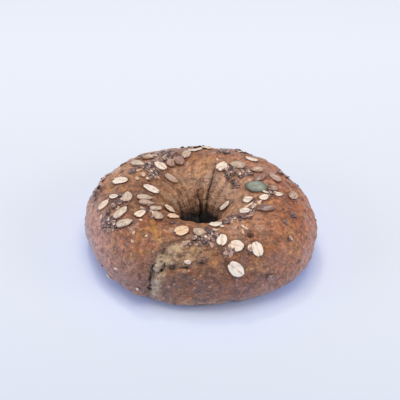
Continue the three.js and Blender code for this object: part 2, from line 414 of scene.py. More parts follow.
# %% Where the small seeds lie
# Each bed: ring angle, angle over the rope, half length along and across the ring in mm, seeds, pale share.
SEED_BEDS = [
    (205, 49, 5.6, 3.4, 66, 0.09), (192, 67, 3.2, 2.2, 23, 0.12), (190, 79, 5.0, 3.0, 26, 0.15),
    (138, 88, 5.4, 3.6, 60, 0.12), (147, 103, 4.4, 2.6, 33, 0.15), (118, 74, 5.6, 4.0, 54, 0.09),
    (129, 60, 6.0, 3.0, 33, 0.12), (151, 78, 3.2, 2.2, 15, 0.12), (50, 108, 3.6, 2.0, 24, 0),
    (28, 121, 3.0, 1.8, 9, 0.06), (303, 109, 5.2, 3.0, 51, 0.12), (276, 79, 4.2, 4.6, 51, 0.21),
    (267, 74, 4.0, 2.4, 15, 0.18), (287, 55, 3.2, 2.2, 14, 0.12), (298, 53, 2.6, 1.8, 10, 0.12),
    (262, 71, 2.6, 1.8, 7, 0.12), (170, 40, 7.0, 2.0, 16, 0.06), (156, 39, 3.4, 1.8, 10, 0.06),
    (70, 74, 3.6, 1.8, 10, 0.12), (356, 87, 3.4, 2.4, 12, 0.18), (314, 99, 4.2, 2.2, 15, 0.06),
    (213, 100, 5.4, 3.4, 18, 0.15), (36, 101, 5.4, 3.2, 26, 0.15), (337, 104, 5.2, 3.0, 14, 0.3),
    (95, 50, 6.0, 3.4, 21, 0.12), (60, 50, 5.0, 3.0, 15, 0.12), (25, 52, 4.0, 3.0, 10, 0.12),
    (127, 86, 4.0, 3.0, 24, 0.08), (118, 92, 4.5, 2.6, 18, 0.08), (121, 80, 5.5, 2.4, 24, 0.08),
    (142, 97, 4.0, 2.2, 14, 0.08),
]
# Each buried or lone seed: ring angle, angle over the rope, length in mm, and whether it is pale.
LONE_SEEDS = [
    (306.5, 7, 3.4, False), (338, 58, 2.8, False), (331, 64, 2.6, False), (340, 71, 1.8, False),
    (324, 41, 3.0, False), (212, -9, 2.4, False), (324, 8, 2.0, False), (265, 7, 2.2, False),
    (224, 5, 2.4, True), (238, -8, 2.8, True), (216, -25, 3.4, True), (203, 39, 3.2, True),
    (224, 62, 2.4, True), (228, 51, 2.2, True), (234, 65, 1.8, True), (220, 82, 2.2, True),
    (263, 42, 3.6, True), (72, 95, 2.2, True), (162, 91, 3.8, True), (154, 94, 4.0, True),
    (20, 30, 2.6, False), (75, 20, 2.8, False), (120, 15, 2.4, True), (160, -5, 2.6, False),
    (355, 15, 2.2, False), (45, 5, 2.4, True), (95, 30, 2.6, False),
]
# Thin linseeds that lie side by side across the rope: ring angle, angle over the rope, length in mm.
SEED_ROW = [
    (51, 115.5, 3.4), (47, 116.5, 4.0), (43.5, 118, 3.8), (37, 119.5, 3.0), (31.5, 121, 3.0),
    (25, 123, 2.4),
]
print(len(SEED_BEDS), "beds of seeds and", len(LONE_SEEDS) + len(SEED_ROW), "seeds placed one by one")

# %% Lumps under the beds, and blisters over buried seeds
BED_RISE, BED_LUMPS, BLISTER_HEIGHT = 0.25, 0.5, 0.3


def distance_from(around, over):
    """How far each point of the crust is from one spot of it, in mm."""
    return np.linalg.norm(skin - ring_points(around, over), axis=1) / MM


BED = np.zeros_like(OVER)
for bed_around, bed_over, half_along, half_across, _, _ in SEED_BEDS:
    reach = (half_along + half_across) / 2
    BED = np.maximum(BED, hill(distance_from(bed_around, bed_over), reach, 4))
bed_relief = BED * (BED_RISE + BED_LUMPS * pattern(skin, 0.0021, 2))
near_seeds, sunken_seeds = np.zeros_like(OVER), np.zeros_like(OVER)
for seed_around, seed_over, length, pale in LONE_SEEDS:
    near_seed = hill(distance_from(seed_around, seed_over), 0.45 * length)
    near_seeds += near_seed
    sunken_seeds += 0.0 if pale else near_seed
blisters = BLISTER_HEIGHT * near_seeds
print("share of the skin under seed beds", round(float((BED > 0.5).mean()), 3))

# %% [markdown]
# ## Valley, swellings and strokes of the modelling tool
#
# What is left of the form is what a sculptor does last with brush and tool: a soft valley where the
# lapped end was stretched over, low swellings where gas has lifted the skin, ridges and narrow crevices
# in the torn dough, and a pit where a kernel has dropped out. Each is a smooth hill or hollow that falls
# off with the distance from a point or a line, as under a sculpting brush.

# %% A valley from the hole down to the seam, and swellings
VALLEY_OVERS = [58, 67, 79, 93, 104]
VALLEY_AROUNDS = [245, 241.7, 235, 223, 214]
VALLEY_RIDGE, VALLEY_DEPTH = 0.5, 1.1
valley_line = np.interp(OVER, VALLEY_OVERS, VALLEY_AROUNDS)
off_valley = np.radians(turned(AROUND - valley_line)) * RADIUS / MM
valley_length = soft_step(OVER, 58, 70) * (1 - soft_step(OVER, 90, 104))
valley_relief = valley_length * (
    VALLEY_RIDGE * hill(off_valley + 3.5, 2.6) - VALLEY_DEPTH * hill(off_valley, 1.5))
stretched = valley_length * hill(off_valley + 1.2 * raggedness, 1.3)

# Swellings of the crust: ring angle, angle over the rope, radius and height in mm.
SWELLINGS = [
    (317, 74, 2.6, 1.0), (322, 66, 2.2, 0.5), (305, 81, 2.2, 1.0), (298, 66, 3.0, 0.5),
    (340, 45, 3.5, 0.5), (160, 75, 3.5, 0.5), (182, 62, 3.2, 0.5), (222, 40, 5.0, 0.5),
    (20, 82, 3.0, 0.5), (345, 70, 3.0, 0.5), (275, 20, 4.0, 0.5), (262, 25, 3.0, 0.7),
    (293, 42, 3.0, 0.5), (240, 84, 3.0, 0.5),
]
swellings = np.zeros_like(OVER)
for swelling_around, swelling_over, swelling_radius, height in SWELLINGS:
    swellings += height * hill(distance_from(swelling_around, swelling_over), swelling_radius)
print("valley and swellings in mm", round(float(valley_relief.min()), 2), round(float(swellings.max()), 2))

# %% Strokes of the modelling tool, and the pit
# Each stroke: start and end (ring angle, angle over the rope), half width and height in mm. The ones with
# a negative height are narrow crevices.
STROKES = [
    ((250.2, 36), (249.5, 28), 0.6, -1.3), ((249.5, 28), (248.2, 18), 0.5, -1.0),
    ((252.5, 31), (258, 32), 0.8, -1.1), ((258, 32), (264, 34), 0.5, -0.6),
    ((250.9, 53.7), (255.2, 60), 0.7, 0.8), ((252, 49), (259, 56), 0.9, 0.9),
    ((259, 56), (267.5, 62), 0.8, 0.6), ((268, 55), (275, 60), 0.8, -0.9),
    ((267.5, 51.7), (272.2, 56), 0.5, -0.7), ((245.7, 47), (248.9, 63.5), 0.5, -0.7),
    ((248.9, 63.5), (253, 72), 0.5, -0.7), ((276, 52), (283, 47), 0.5, -0.4),
    ((262, 44), (270, 44), 0.9, 0.6),
]
PIT = (304.5, 70.5)
PIT_RIM, PIT_DEPTH = 0.8, 2.4

strokes = np.zeros_like(OVER)
stroke_gap = np.full_like(OVER, FAR_GAP)
for (start_around, start_over), (end_around, end_over), half_width, height in STROKES:
    start, end = ring_points(start_around, start_over), ring_points(end_around, end_over)
    share = np.clip((skin - start) @ (end - start) / np.dot(end - start, end - start), 0, 1)
    off_stroke = np.linalg.norm(skin - start - share[:, None] * (end - start), axis=1) / MM
    strokes += height * hill(off_stroke, 1.3 * half_width)
    if height < 0:
        stroke_gap = np.minimum(stroke_gap, off_stroke / half_width + 1 + 0.8 * height)
pit_distance = distance_from(*PIT)
stroke_gap = np.minimum(stroke_gap, pit_distance / 0.9)
pit_relief = PIT_RIM * hill(pit_distance - 2.6, 1.1) - PIT_DEPTH * hill(pit_distance, 1.3)
print("deepest stroke in mm", round(float(strokes.min()), 2))

# %% [markdown]
# ## Push the crust out and in
#
# All the hills and hollows are added up and the crust is moved along its normals by their sum. Two
# Displace modifiers then add blisters and a pebbled skin, which are too many to place one by one. The
# base is set flat again at the end, because it lay on the tray.

# %% Push the crust along its normals
# Up to this height the tray holds the crust back, and up to the second it lies flat on it.
TRAY_REACH, TRAY_CONTACT = 0.004, 0.0004

relief = seam_relief + fissure_relief + torn_relief + fold_relief + pleats
relief += bed_relief + blisters + pit_relief + valley_relief + swellings + strokes
above_tray = soft_step(skin[:, 2], 0.0, TRAY_REACH)
normals = read_points(bread.data, "normal")
sculpted = skin + normals * (relief * above_tray * MM)[:, None]
sculpted[:, 2] = np.maximum(sculpted[:, 2], 0)
write_points(bread.data, sculpted)
displace(bread, "crust_blisters", 0.0036, 0.0009, 1)
displace(bread, "crust_pebble", 0.0018, 0.00042, 2)
settled = read_points(bread.data)
on_the_tray = skin[:, 2] < TRAY_CONTACT
settled[:, 2] = np.where(on_the_tray, 0, np.maximum(settled[:, 2], 0))
write_points(bread.data, settled)
bpy.ops.object.select_all(action="DESELECT")
bread.select_set(True)
bpy.ops.object.shade_smooth()
print("bread height in mm", round(float(settled[:, 2].max()) / MM, 2))

# %% [markdown]
# ## Painting the crust
#
# An oven browns a bagel unevenly. The crest and the side nearest the heat turn orange-brown, and the
# wall of the hole and the belly keep the greyish colour of wholemeal dough. The shoulders are painted
# mauve, a colour that includes a painted bluish sheen of the light on them. The patches are mixed like
# paint: each spot below has its colour, and every point of the crust takes the average of the spots near
# it, as wet paint would run together. A ramp along one axis could not follow such patches. The shader
# adds everything that is finer.

# %% Crust paint
# Each spot: ring angle, angle over the rope, colour.
# Some spots low on the front, near ring angles 265 to 305, are nearly black: painted shade there as well as
# darker crust.
PAINT_SPOTS = [
    (190, 38, "#d4b0ae"), (197, 4, "#c0a0a2"), (214, 18, "#c89c92"), (225, 22, "#b08272"),
    (233, -4, "#977268"), (239, 56, "#92604a"), (238, 28, "#754636"), (230, 84, "#9a6038"),
    (243, 88, "#9a5f3c"), (173, 87, "#643f2a"), (155, 63, "#eeba94"), (160, 25, "#a5796a"),
    (126, 118, "#a7744f"), (90, 105, "#b07e58"), (129, 155, "#8a6a4e"), (70, 155, "#8f7560"),
    (165, 150, "#96704f"), (14, 135, "#d0ae98"), (20, 112, "#cca184"), (52, 135, "#ccb6b4"),
    (33, 98, "#e8bca8"), (37, 60, "#a86845"), (9, 62, "#ab6541"), (348, 50, "#b0673e"),
    (337, 24, "#b98270"), (326, 8, "#b78873"), (321, 55, "#a6643d"), (321, 75, "#a9775c"),
    (312, 33, "#b06a40"), (300, 33, "#552811"), (284, 38, "#8f5434"), (270, 18, "#331408"),
    (267, 14, "#2c1206"), (265, 23, "#4e2813"), (275, 13, "#442210"), (285, -4, "#a0725e"),
    (301, -14, "#a0806f"), (260, -14, "#a4867a"), (252, 5, "#6a4638"), (62, 55, "#a6705a"),
    (107, 55, "#a9765a"), (75, 15, "#a2776a"), (120, 10, "#a57d70"), (220, 150, "#9a7150"),
    (290, 150, "#a07a5c"), (262, 112, "#a66f48"), (300, 95, "#dcb298"), (30, 5, "#a2776a"),
    (256, 57, "#ccaa8e"), (272, 64, "#6a4030"), (276, 54, "#6a4030"), (300, 40, "#502810"),
    (304, 35, "#3c1c0c"), (163, 71, "#f2c49e"), (171, 85, "#52321f"), (183, 82, "#6e3f2a"),
    (303, 88, "#d8b29e"), (312, 60, "#b0713f"), (284, 8, "#8f5d4c"), (272, -8, "#ae8a7a"),
]
BELLY_COLOUR = "#b39c88"
HOLE_COLOUR = "#a8927a"
# Nearly black: painted shade at the bottom of the hole, where little light gets in.
HOLE_BOTTOM_SHADE = "#120b10"
BASE_COLOUR = "#b08c66"
BASE_DARK_COLOUR = "#8a6241"
SPOT_REACH = 0.009
# All the spots together are shifted a little toward red-brown.
OVEN_CAST = [0.96, 0.85, 0.80]

crust = read_points(bread.data)
total = np.zeros((len(crust), 3))
weights = np.full(len(crust), 1e-9)
for spot_around, spot_over, colour in PAINT_SPOTS:
    away = np.linalg.norm(crust - ring_points(spot_around, spot_over), axis=1)
    weight = np.exp(-0.5 * (away / SPOT_REACH) ** 2) + 1e-7
    total += weight[:, None] * np.array(linear(colour)[:3])
    weights += weight
paint = total / weights[:, None]
print("mixed", len(PAINT_SPOTS), "spots of paint")

# %% Belly, wall of the hole, painted shade at the bottom of the hole, and base
def lay_over(paint, colour, share):
    """Paints a colour over the crust, by a share for each point."""
    return paint + (np.array(linear(colour)[:3]) - paint) * np.clip(share, 0, 1)[:, None]


in_belly = soft_step(-OVER, 14, 34) * (rope_angle > 180)
in_wall = soft_step(rope_angle, 158, 190) * (1 - soft_step(rope_angle, 290, 320))
paint = lay_over(paint, BELLY_COLOUR, 0.75 * in_belly)
paint = lay_over(paint, HOLE_COLOUR, 0.6 * in_wall)
# The bottom of the hole is painted nearly black, as painted shade.
shaded_hole_bottom = in_hole * (1 - soft_step(crust[:, 2], 0.0135, 0.0215))
paint = lay_over(paint, HOLE_BOTTOM_SHADE, 0.97 * shaded_hole_bottom)
paint *= OVEN_CAST
on_tray = 1 - soft_step(crust[:, 2], 0.0002, 0.0022)
tray_patches = 0.5 + 0.5 * pattern(crust, 0.016, 3)
paint = lay_over(paint, BASE_COLOUR, on_tray)
paint = lay_over(paint, BASE_DARK_COLOUR, on_tray * soft_step(tray_patches, 0.45, 0.9))
print("mean crust paint", np.round(paint.mean(axis=0), 3))

# %% [markdown]
# ## Painted shade around the toppings
#
# A topping keeps the light off the crust right beside it, so a narrow dark line of painted shade is laid
# around each one. The line needs the place and turn of each topping's solid. A singular value
# decomposition of its corners gives them: the way in which they spread the most is its length, and the
# least is its thickness.

# %% Where the painted shade around the toppings lies
CREST_TO_ROPE_CENTRE = 0.019
CONTACT_SHADE_WIDTH = 0.0009
CONTACT_SHADE_REACH = 0.004
LINSEED_CONTACT_SHADE = 0.4


def solid_axes(node_name):
    """Centre, long way, cross way, normal, length and width of a topping's solid."""
    points = read_points(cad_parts[node_name].data)
    centre = points.mean(axis=0)
    _, _, (long_way, _, normal) = np.linalg.svd(points - centre, full_matrices=False)
    crest = ring_points(math.degrees(math.atan2(centre[1], centre[0])), 90)
    rope_centre = crest - [0, 0, CREST_TO_ROPE_CENTRE]
    if np.dot(normal, centre - rope_centre) < 0:
        normal = -normal
    shares = (points - centre) @ long_way
    sides = np.abs((points - centre) @ np.cross(normal, long_way))
    if sides[shares > 0].mean() > sides[shares < 0].mean():
        long_way = -long_way
    cross_way = np.cross(normal, long_way)
    width = np.ptp((points - centre) @ cross_way)
    return Vector(centre), Vector(long_way), Vector(cross_way), Vector(normal), np.ptp(shares), width


contact_shade = np.zeros_like(OVER)
for node_name in sorted(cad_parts):
    if node_name == "bread_ring":
        continue
    centre, long_way, cross_way, normal, length, width = solid_axes(node_name)
    offsets = crust - np.array(centre)
    along_share = offsets @ np.array(long_way) / (length / 2)
    across_share = offsets @ np.array(cross_way) / (width / 2)
    near = np.abs(offsets @ np.array(normal)) < CONTACT_SHADE_REACH
    line_width = CONTACT_SHADE_WIDTH / (width / 2)
    past_line = soft_step(
        np.hypot(along_share, across_share), 1.0 + 0.4 * line_width, 1.0 + 1.7 * line_width)
    strength = LINSEED_CONTACT_SHADE if node_name.startswith("linseed") else 1.0
    contact_shade = np.maximum(contact_shade, strength * near * (1 - past_line))
print("share of the skin at toppings", round(float((contact_shade > 0.5).mean()), 3))

# %% [markdown]
# ## Painted shade in creases, and the layers kept on the mesh
#
# Little light reaches the bottom of a crease, so the crust is painted darker there: painted shade. Each
# kind of crease adds to one layer of soft dark lines, which also darkens the crust over buried dark seeds.
# A second layer holds the distance to the nearest crease, so that the shader can draw a thin sharp line of
# painted shade that is finer than the mesh. The layers are stored as attributes, which stay with the crust
# however it is turned or baked.

# %% Soft dark lines of painted shade, and torn fringe
dark_lines = 0.6 * along_seam * (1 - 0.85 * up_the_seam) * hill(PAST_SEAM - 1.2, 1.3)
dark_lines *= 0.35 + 0.65 * soft_step(lumps, -0.2, 0.15)
dark_lines += 0.55 * along_seam * up_the_seam * hill(PAST_SEAM - 0.3, 1.8)
dark_lines += 0.6 * fissure_length * broken * hill(ABOVE_FISSURE, 2.4)
dark_lines += np.clip(-fold_relief / 1.7, 0, 1) * 0.55
dark_lines += hill(pit_distance, 1.5) + 1.1 * sunken_seeds
dark_lines += 0.8 * RIPS + 0.5 * TORN * soft_step(-lumps, 0.15, 0.5)
fringe = beside_seam * hill(PAST_SEAM - 2 + 2.5 * lumps, 6) * (1 - soft_step(OVER, 58, 74))
fringe *= (0.45 + 0.55 * soft_step(lumps, -0.25, 0.2)) * (1 - 0.65 * soft_step(OVER, 30, 45))
print("share of the skin in dark lines", round(float((dark_lines > 0.5).mean()), 3))

# %% Distances to the nearest crease, in half widths of its dark line
SEAM_LINE_HALF_WIDTH, FISSURE_LINE_HALF_WIDTH, RIP_LINE_HALF_WIDTH = 0.6, 0.7, 0.07
seam_gap = np.abs(np.radians(PAST_SEAM - 1.3) * RADIUS / MM) / SEAM_LINE_HALF_WIDTH
seam_gap += 4 * (1 - along_seam * (1 - 0.75 * up_the_seam))
fissure_gap = np.abs(ABOVE_FISSURE * MM_PER_ROPE_DEGREE) / FISSURE_LINE_HALF_WIDTH
fissure_gap += 4 * (1 - fissure_length * soft_step(broken, 0.3, 0.7))
rip_gap = np.abs(rip_lines) / RIP_LINE_HALF_WIDTH + 4 * (1 - soft_step(RIPS, 0.1, 0.6))
crease_gap = np.minimum.reduce([seam_gap, fissure_gap, fold_gap, rip_gap, stroke_gap])
print("share of the skin in creases", round(float((crease_gap < 1).mean()), 3))

# %% Keep the painted values on the mesh
def keep_values(mesh, name, values):
    """Stores one number for each corner of a mesh, for its material to read."""
    layer = mesh.attributes.new(name, "FLOAT", "POINT")
    layer.data.foreach_set("value", np.asarray(values, dtype=np.float32).ravel())


for name, values in (
        ("dark_lines", np.clip(dark_lines, 0, 1)), ("crease_gap", np.clip(crease_gap, 0, 6)),
        ("hole_wall", in_hole), ("wall_lines", wall_lines), ("hole_shade", shaded_hole_bottom), ("torn", TORN),
        ("contact_shade", contact_shade), ("seed_bed", BED), ("fringe", fringe),
        ("stretched", stretched)):
    keep_values(bread.data, name, values)
crust_paint = bread.data.attributes.new("crust_paint", "FLOAT_COLOR", "POINT")
crust_paint.data.foreach_set("color", np.insert(paint, 3, 1, axis=1).astype(np.float32).ravel())
print("painted", len(bread.data.attributes), "layers")

# %% [markdown]
# ## Crust material
#
# Boiled and baked wholemeal crust is a thin, hard, slightly shiny skin of starch that still holds some
# water, so its index of refraction is about 1.45, between water at 1.33 and dry starch at 1.53. One
# noise could colour it, but what is seen on a crust has several causes and sizes: patches of browning of
# 6 to 8 mm, lumps of 2.6 mm, a grain of 1 mm, wrinkles, and flecks of bran. So each has its own nodes.
# The sizes are those of real crust, except for the grain, which is drawn a little coarser than it is, so
# that it still shows.

# %% Clouds of several sizes, and the layers painted on the mesh
CRUST_IOR = 1.45
# Each pattern: the size of its lumps in mm, detail, roughness, and how its place is moved or stretched.
CRUST_PATTERNS = {
    "browning": (6.0, 4.0, 0.6, {}),
    "golden": (8.0, 3.0, 0.6, {"Location": (0.05, 0.02, 0.03)}),
    "lumps": (2.6, 3.0, 0.55, {}),
    "grain": (1.0, 2.0, 0.55, {}),
    "wrinkled": (9.0, 2.0, 0.6, {}),
    "ripples": (2.6, 3.0, 0.55, {"Scale": (1, 1, 3.2)}),
    "thinned": (7.0, 2.0, 0.6, {"Rotation": (0, 0, math.radians(-62)), "Scale": (1, 4, 1)}),
    "crumb": (3.2, 3.0, 0.6, {}),
    "ragged": (1.6, 2.0, 0.6, {}),
}
PAINTED_LAYERS = (
    "torn", "fringe", "stretched", "hole_wall", "wall_lines", "seed_bed", "contact_shade",
    "dark_lines", "crease_gap", "hole_shade")

m = crust_material = new_material("baked_wholemeal_crust")
place = add_node(m, "TexCoord", output="Object")
clouds = {}
for name, (size, detail, roughness, moved) in CRUST_PATTERNS.items():
    where = add_node(m, "Mapping", {"Vector": place, **moved}) if moved else place
    clouds[name] = add_node(m, "TexNoise", {
        "Vector": where, "Scale": 1 / (size * MM), "Detail": detail, "Roughness": roughness})
layers = {
    name: add_node(m, "Attribute", {"attribute_name": name}, output="Fac") for name in PAINTED_LAYERS}
oven_colour = add_node(m, "Attribute", {"attribute_name": "crust_paint"}, output="Color")
print("crust has", len(clouds), "patterns and", len(layers), "painted layers")

# %% [markdown]
# The colour is built up as a painter would, coat on coat. Each coat below has a way of mixing, a share
# between 0 and 1 that says where it lies, and a colour. The list grows from cell to cell, and the
# coats are laid at its end. A Map Range node turns a pattern into a share: its values are the pattern,
# the two ends of the range that matters, and the shares at these ends, 0 and 1 where they are left out.

# %% Browning: warm and grey clouds, gold high up, and a painted mauve sheen on the flanks
FRONT_MIDDLE = (0.002, -0.05, 0.010)
warmer = add_node(
    m, "Mix", MIX | {FACTOR: 0.24, FIRST: oven_colour, SECOND: linear("#bd6a1f")}, output=MIXED)
greyer = add_node(
    m, "Mix", MIX | {FACTOR: 0.17, FIRST: oven_colour, SECOND: linear("#8c6a70")}, output=MIXED)
browned = add_node(m, "MapRange", {}, (clouds["browning"], 0.38, 0.62))

height = add_node(m, "SeparateXYZ", {"Vector": place}, output="Z")
golden = add_node(m, "MapRange", {}, (clouds["golden"], 0.52, 0.66, 0.0, 0.42))
high_up = add_node(m, "MapRange", {}, (height, 0.016, 0.028, 0.3, 1.0))
golden_share = add_node(m, "Math", MULTIPLY, (golden, high_up))
# The lower flanks get a mauve tint, a painted bluish sheen of the light there, but not the middle of the
# front.
lower_flanks = add_node(m, "MapRange", {}, (height, 0.012, 0.026, 0.22, 0.0))
front_distance = add_node(m, "VectorMath", {"operation": "DISTANCE"}, (place, FRONT_MIDDLE), "Value")
off_front = add_node(m, "MapRange", {}, (front_distance, 0.012, 0.030))
flank_sheen_share = add_node(m, "Math", MULTIPLY, (lower_flanks, off_front))

lump_tone = add_node(m, "MapRange", {}, (clouds["lumps"], 0.36, 0.64, 0.60, 1.38))
grain_tone = add_node(m, "MapRange", {}, (clouds["grain"], 0.34, 0.64, 0.78, 1.18))
# The pale tops of the grain are painted highlights.
grain_glints = add_node(m, "MapRange", {}, (clouds["grain"], 0.56, 0.70, 0.0, 0.24))
coats = [
    (MIX, golden_share, linear("#c8935a")),
    (MIX, flank_sheen_share, linear("#b08888")),
    (SHADE, 1.0, lump_tone),
    (SHADE, 1.0, grain_tone),
    (MIX, grain_glints, linear("#e0b4a0")),
]
print("browning takes", len(coats), "coats")

# %% Bran flecks: one cell of a Voronoi pattern in four is a pale fleck, partly bran and partly a painted glint, and one in six a dark one
FLECK_SPACING = 0.0024
fleck_distance = add_node(m, "TexVoronoi", {"Vector": place, "Scale": 1 / FLECK_SPACING}, output="Distance")
fleck_chances = add_node(m, "SeparateColor", {"Color": fleck_distance.node.outputs["Color"]}).node
fleck_shape = add_node(m, "MapRange", {}, (fleck_distance, 0.14, 0.30, 1.0, 0.0))
# Each fleck: the chance it reads, the range in which the chance turns it on, strength and colour.
for chance_name, start, end, strength, colour in (
        ("Red", 0.72, 0.74, 0.42, "#edcbb0"), ("Green", 0.82, 0.84, 0.55, "#5a3322")):
    chosen = add_node(m, "MapRange", {}, (fleck_chances.outputs[chance_name], start, end, 0.0, strength))
    coats.append((MIX, add_node(m, "Math", MULTIPLY, (chosen, fleck_shape)), linear(colour)))
print("flecks every", FLECK_SPACING / MM, "mm")

# %% Wrinkles: the boiled skin shrinks as it dries, in crooked lines, in some places only
WRINKLE_SPACING = 0.0042
CROOKEDNESS = 0.003
bend = add_node(m, "TexNoise", {"Vector": place, "Scale": 1 / CROOKEDNESS, "Detail": 1.0}, output="Color")
crooked = add_node(m, "VectorMath", {"operation": "MULTIPLY_ADD"}, (bend, (CROOKEDNESS,) * 3, place))
cell_edges = add_node(m, "TexVoronoi", {
    "feature": "DISTANCE_TO_EDGE", "Scale": 1 / WRINKLE_SPACING, "Vector": crooked})
wrinkle_lines = add_node(m, "MapRange", {}, (cell_edges, 0.0, 0.10, 1.0, 0.0))
wrinkled_places = add_node(m, "MapRange", {}, (clouds["wrinkled"], 0.46, 0.60))
wrinkles = add_node(m, "Math", MULTIPLY, (wrinkle_lines, wrinkled_places))
# The wall of the hole is pleated instead, so it has hardly any.
wrinkle_strength = add_node(m, "MapRange", {}, (layers["hole_wall"], 0.0, 1.0, 0.42, 0.10))
# The wrinkle lines are painted darker: painted shade in their folds.
coats.append((MIX, add_node(m, "Math", MULTIPLY, (wrinkles, wrinkle_strength)), linear("#6b3d24")))
print("wrinkles every", WRINKLE_SPACING / MM, "mm")

# %% Painted highlights on ripples, thinned skin in the valley, and pleats in the hole painted pale on their tops and dark in their hollows, as painted highlight and shade
# Ripples are painted paler where they would catch the light: painted highlights.
ripple_highlights = add_node(m, "MapRange", {}, (clouds["ripples"], 0.54, 0.66, 0.0, 0.16))
thinned = add_node(m, "MapRange", {}, (clouds["thinned"], 0.36, 0.56, 0.0, 0.95))
# Pleat tops are painted paler and pleat hollows darker: painted highlight and painted shade.
lit_pleat_tops = add_node(m, "MapRange", {}, (layers["wall_lines"], 0.05, 0.3, 0.0, 0.3))
shaded_pleat_hollows = add_node(m, "MapRange", {}, (layers["wall_lines"], -0.05, -0.3, 0.0, 0.3))
coats += [
    (MIX, ripple_highlights, linear("#d9a898")),
    (MIX, add_node(m, "Math", MULTIPLY, (thinned, layers["stretched"])), linear("#dba65a")),
    (MIX, lit_pleat_tops, linear("#d2b79c")),
    (MIX, shaded_pleat_hollows, linear("#6d4a3a")),
]
print("with ripples, thin skin and pleats there are", len(coats), "coats")

# %% Torn dough: crumb that has dried, pale, olive-grey to beige, without the brown skin
crumb_share = add_node(m, "MapRange", {}, (clouds["crumb"], 0.40, 0.62))
yellow_share = add_node(m, "MapRange", {}, (clouds["browning"], 0.50, 0.60, 0.0, 0.45))
fringe_share = add_node(m, "Math", MULTIPLY, (layers["fringe"], 0.85))
crumb_tone = add_node(m, "MapRange", {}, (clouds["grain"], 0.35, 0.65, 0.78, 1.2))
torn_colour = linear("#96765e")
for way, share, colour in (
        (MIX, crumb_share, linear("#e8c8aa")), (MIX, yellow_share, linear("#b08d4c")),
        (MIX, fringe_share, linear("#d8cbbd")), (SHADE, 1.0, crumb_tone)):
    torn_colour = add_node(
        m, "Mix", way | {FACTOR: share, FIRST: torn_colour, SECOND: colour}, output=MIXED)
coats.append((MIX, add_node(m, "Math", MULTIPLY, (layers["torn"], 0.9)), torn_colour))
print("torn dough is coat", len(coats))

# %% Painted shade in seed beds, around toppings, in the seam and creases, and at the bottom of the hole
crease_noise = add_node(m, "MapRange", {}, (clouds["ragged"], 0.3, 0.7, -0.6, 0.6))
ragged_gap = add_node(m, "Math", ADD, (layers["crease_gap"], crease_noise))
layers["creases"] = add_node(m, "MapRange", {}, (ragged_gap, 0.5, 1.3, 1.0, 0.0))
for name, strength, colour in (
        ("seed_bed", 0.4, "#6d4838"), ("contact_shade", 0.5, "#5c3424"), ("dark_lines", 0.7, "#3d2923"),
        ("creases", 0.9, "#241715"), ("hole_shade", 0.9, HOLE_BOTTOM_SHADE)):
    coats.append((MIX, add_node(m, "Math", MULTIPLY, (layers[name], strength)), linear(colour)))

crust_colour = add_node(m, "Mix", MIX | {FACTOR: browned, FIRST: greyer, SECOND: warmer}, output=MIXED)
for way, share, colour in coats:
    crust_colour = add_node(
        m, "Mix", way | {FACTOR: share, FIRST: crust_colour, SECOND: colour}, output=MIXED)
print("laid", len(coats), "coats on the crust")

# %% Gloss and fine relief of the crust
# The skin is satin, dull where it is torn. Bump nodes add what is finer than the mesh, each on the last.
torn_roughness = add_node(m, "MapRange", {}, (layers["torn"], 0.0, 1.0, 0.44, 0.85))
uneven_gloss = add_node(m, "MapRange", {}, (clouds["lumps"], 0.3, 0.7, -0.1, 0.1))
crust_roughness = add_node(m, "Math", ADD, (torn_roughness, uneven_gloss))
lump_bump = add_node(m, "Bump", {"Strength": 1.0, "Distance": 0.0013, "Height": clouds["lumps"]})
grain_bump = add_node(m, "Bump", {
    "Strength": 1.0, "Distance": 0.0008, "Height": clouds["grain"], "Normal": lump_bump})
wrinkle_bump = add_node(m, "Bump", {
    "Strength": 0.5, "Distance": 0.0004, "invert": True, "Height": wrinkles, "Normal": grain_bump})
crust_shader = add_node(m, "BsdfPrincipled", {
    "Base Color": crust_colour, "Roughness": crust_roughness, "Normal": wrinkle_bump, "IOR": CRUST_IOR,
    "Subsurface Weight": 0.06, "Subsurface Radius": (1.0, 0.5, 0.25), "Subsurface Scale": 0.0012,
    "Coat Weight": 0.4, "Coat Roughness": 0.22})
add_node(m, "OutputMaterial", {"Surface": crust_shader})
bread.data.materials.append(crust_material)
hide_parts("bread_ring")
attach(bread, "root")
print("crust material has", len(m.node_tree.nodes), "nodes")

# %% [markdown]
# ## Master toppings
#
# Each kind of topping is modelled once, one unit across in each way: a ball is flattened, then
# its points are pulled and grooved with proportional editing and roughened with a Displace modifier.
# Every topping on the bread is then a copy of its master, with a mesh of its own. Proportional editing
# suits them, because a kernel has no edges to extrude: every form on it is soft.

# %% Modelling helpers
def start_ball(name, segments, rings):
    """A unit ball with its poles up and down, alone in the selection."""
    bpy.ops.object.select_all(action="DESELECT")
    bpy.ops.mesh.primitive_uv_sphere_add(segments=segments, ring_count=rings, radius=1)
    ball = bpy.context.object
    ball.name = name
    return ball


def select_where(target, test):
    """In edit mode, selects the points of which the test of x, y and z holds."""
    bpy.ops.object.mode_set(mode="EDIT")
    bpy.ops.mesh.select_mode(type="VERT")
    bpy.ops.mesh.select_all(action="DESELECT")
    bpy.ops.object.mode_set(mode="OBJECT")
    for vertex in target.data.vertices:
        vertex.select = bool(test(*vertex.co))
    bpy.ops.object.mode_set(mode="EDIT")


def push(target, test, move, reach):
    """Moves some points, and draws along the ones within reach."""
    select_where(target, test)
    bpy.ops.transform.translate(
        value=move, use_proportional_edit=True, proportional_edit_falloff="SMOOTH",
        proportional_size=reach)
    bpy.ops.object.mode_set(mode="OBJECT")


def squeeze(target, test, scale, centre, reach):
    """Scales some points about a centre, and draws along the ones within reach."""
    select_where(target, test)
    bpy.ops.transform.resize(
        value=scale, center_override=centre, use_proportional_edit=True,
        proportional_edit_falloff="SMOOTH", proportional_size=reach)
    bpy.ops.object.mode_set(mode="OBJECT")


